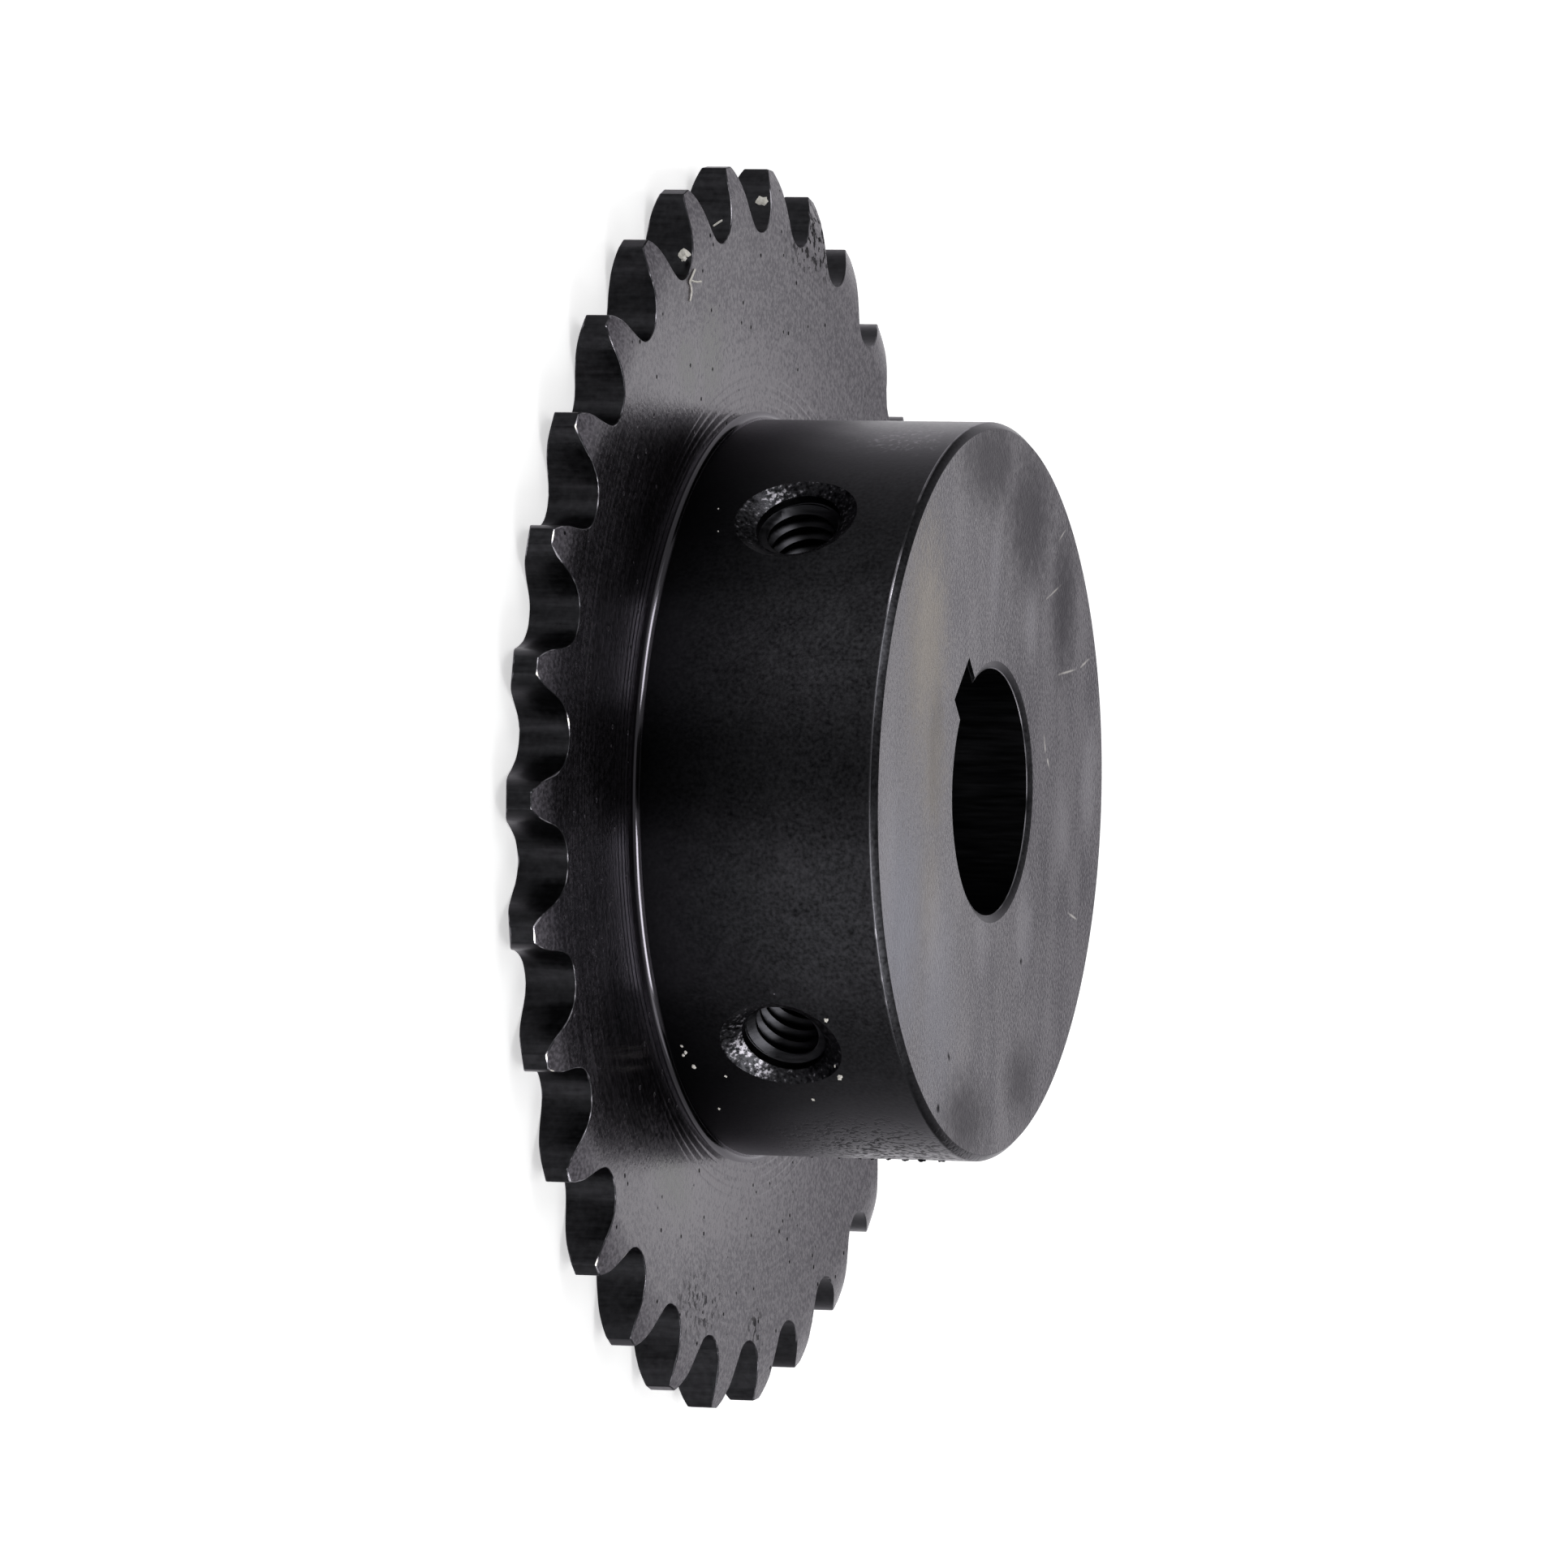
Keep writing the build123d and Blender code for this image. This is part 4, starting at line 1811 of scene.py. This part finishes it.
@dataclass(frozen=True)
class WhiteAcrylic(Finish):
    """The floor's sheet of white acrylic: it mirrors the part faintly, and glows where it's seen.

    Args:
        glow: strength of the glow.
    """

    name: str = "white_acrylic"
    glow: float = 0.55

    def dress(self, ground: Ground) -> None:
        """Adds the finish's nodes.

        Args:
            ground: that takes them.
        """
        card = ground.add("BsdfPrincipled", Base_Color=linear("#f2f2f2"), Roughness=0.3)
        strength = ground.add("Math", ground.seen(), self.glow, operation="MULTIPLY")
        glow = ground.add("Emission", Color=WHITE, Strength=strength)
        ground.add("OutputMaterial", Surface=ground.add("AddShader", card, glow))


@dataclass(frozen=True)
class BlackFelt(Finish):
    """The flags' cloth: black, with no gloss."""

    name: str = "black_felt"

    def dress(self, ground: Ground) -> None:
        """Adds the finish's nodes.

        Args:
            ground: that takes them.
        """
        cloth = ground.add("BsdfDiffuse", Color=linear("#0a0a0a"))
        ground.add("OutputMaterial", Surface=cloth)


@dataclass(frozen=True)
class Fixture:
    """A card or a lamp of the studio.

    Args:
        name: of the fixture.
        bearing: from the direction of the camera, in degrees counter-clockwise from above.
        distance: from the part, in millimetres.
        size: width and height, in millimetres.
    """

    name: str
    bearing: float
    distance: float
    size: tuple[float, float]


@dataclass(frozen=True)
class Flag(Fixture):
    """A black card that only shows in the gloss, as the dark parts of a studio do."""

    def place(self, camera: Camera, felt: bpy.types.Material) -> None:
        """Adds the card, which stands on the floor.

        Args:
            camera: that the bearing is counted from.
            felt: that covers it.
        """
        half, height = self.size[0] / 2 * MM, self.size[1] * MM
        corners = [(0, -half, 0), (0, half, 0), (0, half, height), (0, -half, height)]
        made = add_sheet(self.name, corners, felt)
        turn = camera.bearing_from(self.bearing)
        made.location = Vector((math.cos(turn), math.sin(turn), 0)) * self.distance * MM
        made.rotation_euler = (0, 0, turn)
        made.visible_camera = False
        made.visible_diffuse = False
        made.visible_shadow = False


@dataclass
class Studio:
    """A plain white floor, an even white surround and black flags.

    The flag behind the camera gives the dark gap in the middle of the hub and of the highlight
    along its root. Those at the sides keep the plate dark where the hub mirrors it.
    """

    flags: tuple[Flag, ...] = (
        Flag("flag_back", -5.0, 1150.0, (530.0, 1600.0)),
        Flag("flag_left", -112.0, 1000.0, (1250.0, 480.0)),
        Flag("flag_right", 112.0, 1000.0, (1250.0, 480.0)),
    )
    floor_size: float = 6.0
    floor_drop: float = 0.02
    surround_light: float = 0.5

    def build(self, camera: Camera) -> None:
        """Adds the floor, the surround and the flags.

        Args:
            camera: that the flags' bearings are counted from.
        """
        self.floor()
        self.surround()
        felt = BlackFelt().material()
        for flag in self.flags:
            flag.place(camera, felt)

    def floor(self) -> None:
        """Adds the floor that the part lies on."""
        half, low = self.floor_size / 2, -self.floor_drop * MM
        corners = [(-half, -half, low), (half, -half, low), (half, half, low), (-half, half, low)]
        made = add_sheet("floor", corners, WhiteAcrylic().material())

    def surround(self) -> None:
        """Sets a white surround, which lights the part at a plain level."""
        world = bpy.data.worlds.new("studio")
        bpy.context.scene.world = world
        world.use_nodes = True
        nodes = Nodes(world.node_tree)
        strength = nodes.add("MapRange", nodes.seen(), To_Min=self.surround_light, To_Max=1.0)
        light = nodes.add("Background", Color=WHITE, Strength=strength)
        nodes.add("OutputWorld", Surface=light)


@dataclass(frozen=True)
class SoftLamp(Fixture):
    """A soft box.

    Args:
        elevation: above the floor, in degrees.
        radiance: of its face, where 1 is white.
        gloss_only: whether it only shows as a reflection, and lights nothing.
    """

    elevation: float
    radiance: float
    gloss_only: bool = False

    def place(self, camera: Camera) -> None:
        """Adds the lamp.

        Args:
            camera: that the bearing is counted from.
        """
        data = bpy.data.lights.new(self.name, "AREA")
        data.shape = "RECTANGLE"
        data.size = self.size[0] * MM
        data.size_y = self.size[1] * MM
        data.energy = self.radiance * math.pi * self.size[0] * self.size[1] * MM**2
        lamp = add_object(self.name, data)
        turn = camera.bearing_from(self.bearing)
        rise = math.radians(self.elevation)
        flat = math.cos(rise)
        out = Vector((math.cos(turn) * flat, math.sin(turn) * flat, math.sin(rise)))
        lamp.location = out * self.distance * MM
        lamp.rotation_mode = "QUATERNION"
        lamp.rotation_quaternion = out.to_track_quat("Z", "Y")
        lamp.visible_diffuse = not self.gloss_only


LAMPS = (
    SoftLamp("key_lamp", 90.0, 900.0, (350.0, 350.0), 42.0, 4.0),
    SoftLamp("fill_lamp", -70.0, 900.0, (350.0, 350.0), 50.0, 2.0),
    SoftLamp("strip_right", 42.0, 700.0, (590.0, 260.0), 35.0, 33.0, gloss_only=True),
    SoftLamp("strip_left", -45.0, 700.0, (350.0, 260.0), 35.0, 26.0, gloss_only=True),
)

# What each surface of the sprocket is finished with.
FINISHES = {
    FacedPlate(): (Surface.PLATE_FACE, Surface.TOOTH_SIDE),
    WipedFace(): (Surface.HUB_FACE,),
    TurnedWall(): (Surface.HUB_WALL, Surface.HUB_EDGE, Surface.BORE_MOUTH),
    BurnishedRoot(): (Surface.HUB_ROOT,),
    HobbedFlank(): (Surface.TOOTH_FLANK,),
    WornEdge(): (Surface.TOOTH_EDGE, Surface.HUB_CORNER, Surface.BORE_CORNER),
    CutSink(): (Surface.COUNTERSINK,),
    OiledThread(): (Surface.BORE, Surface.THREAD),
}


def main() -> None:
    """Builds the camera, the part and the studio."""
    logging.basicConfig(level=logging.INFO, format="%(message)s")
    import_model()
    camera = Camera()
    camera.place()
    bpy.context.scene.view_settings.view_transform = "Standard"

    holes = [TappedHole(0.0), TappedHole(90.0, start=0.3)]
    piece = DressedSprocket(Sprocket(), holes, FINISHES).build()
    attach(piece, "root")
    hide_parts("sprocket")
    paste = DriedPaste().material()
    dirt = [Grit(CRUMBS).build(paste, piece.data.materials[OiledThread.name])]
    dirt.append(LintFibre(FIBRES).build(paste))
    for extra in dirt:
        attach(extra, "root")
    for made in (piece, *dirt):
        LOG.info("%s: %d faces", made.name, len(made.data.polygons))

    Studio().build(camera)
    for lamp in LAMPS:
        lamp.place(camera)


if __name__ == "__main__":
    main()
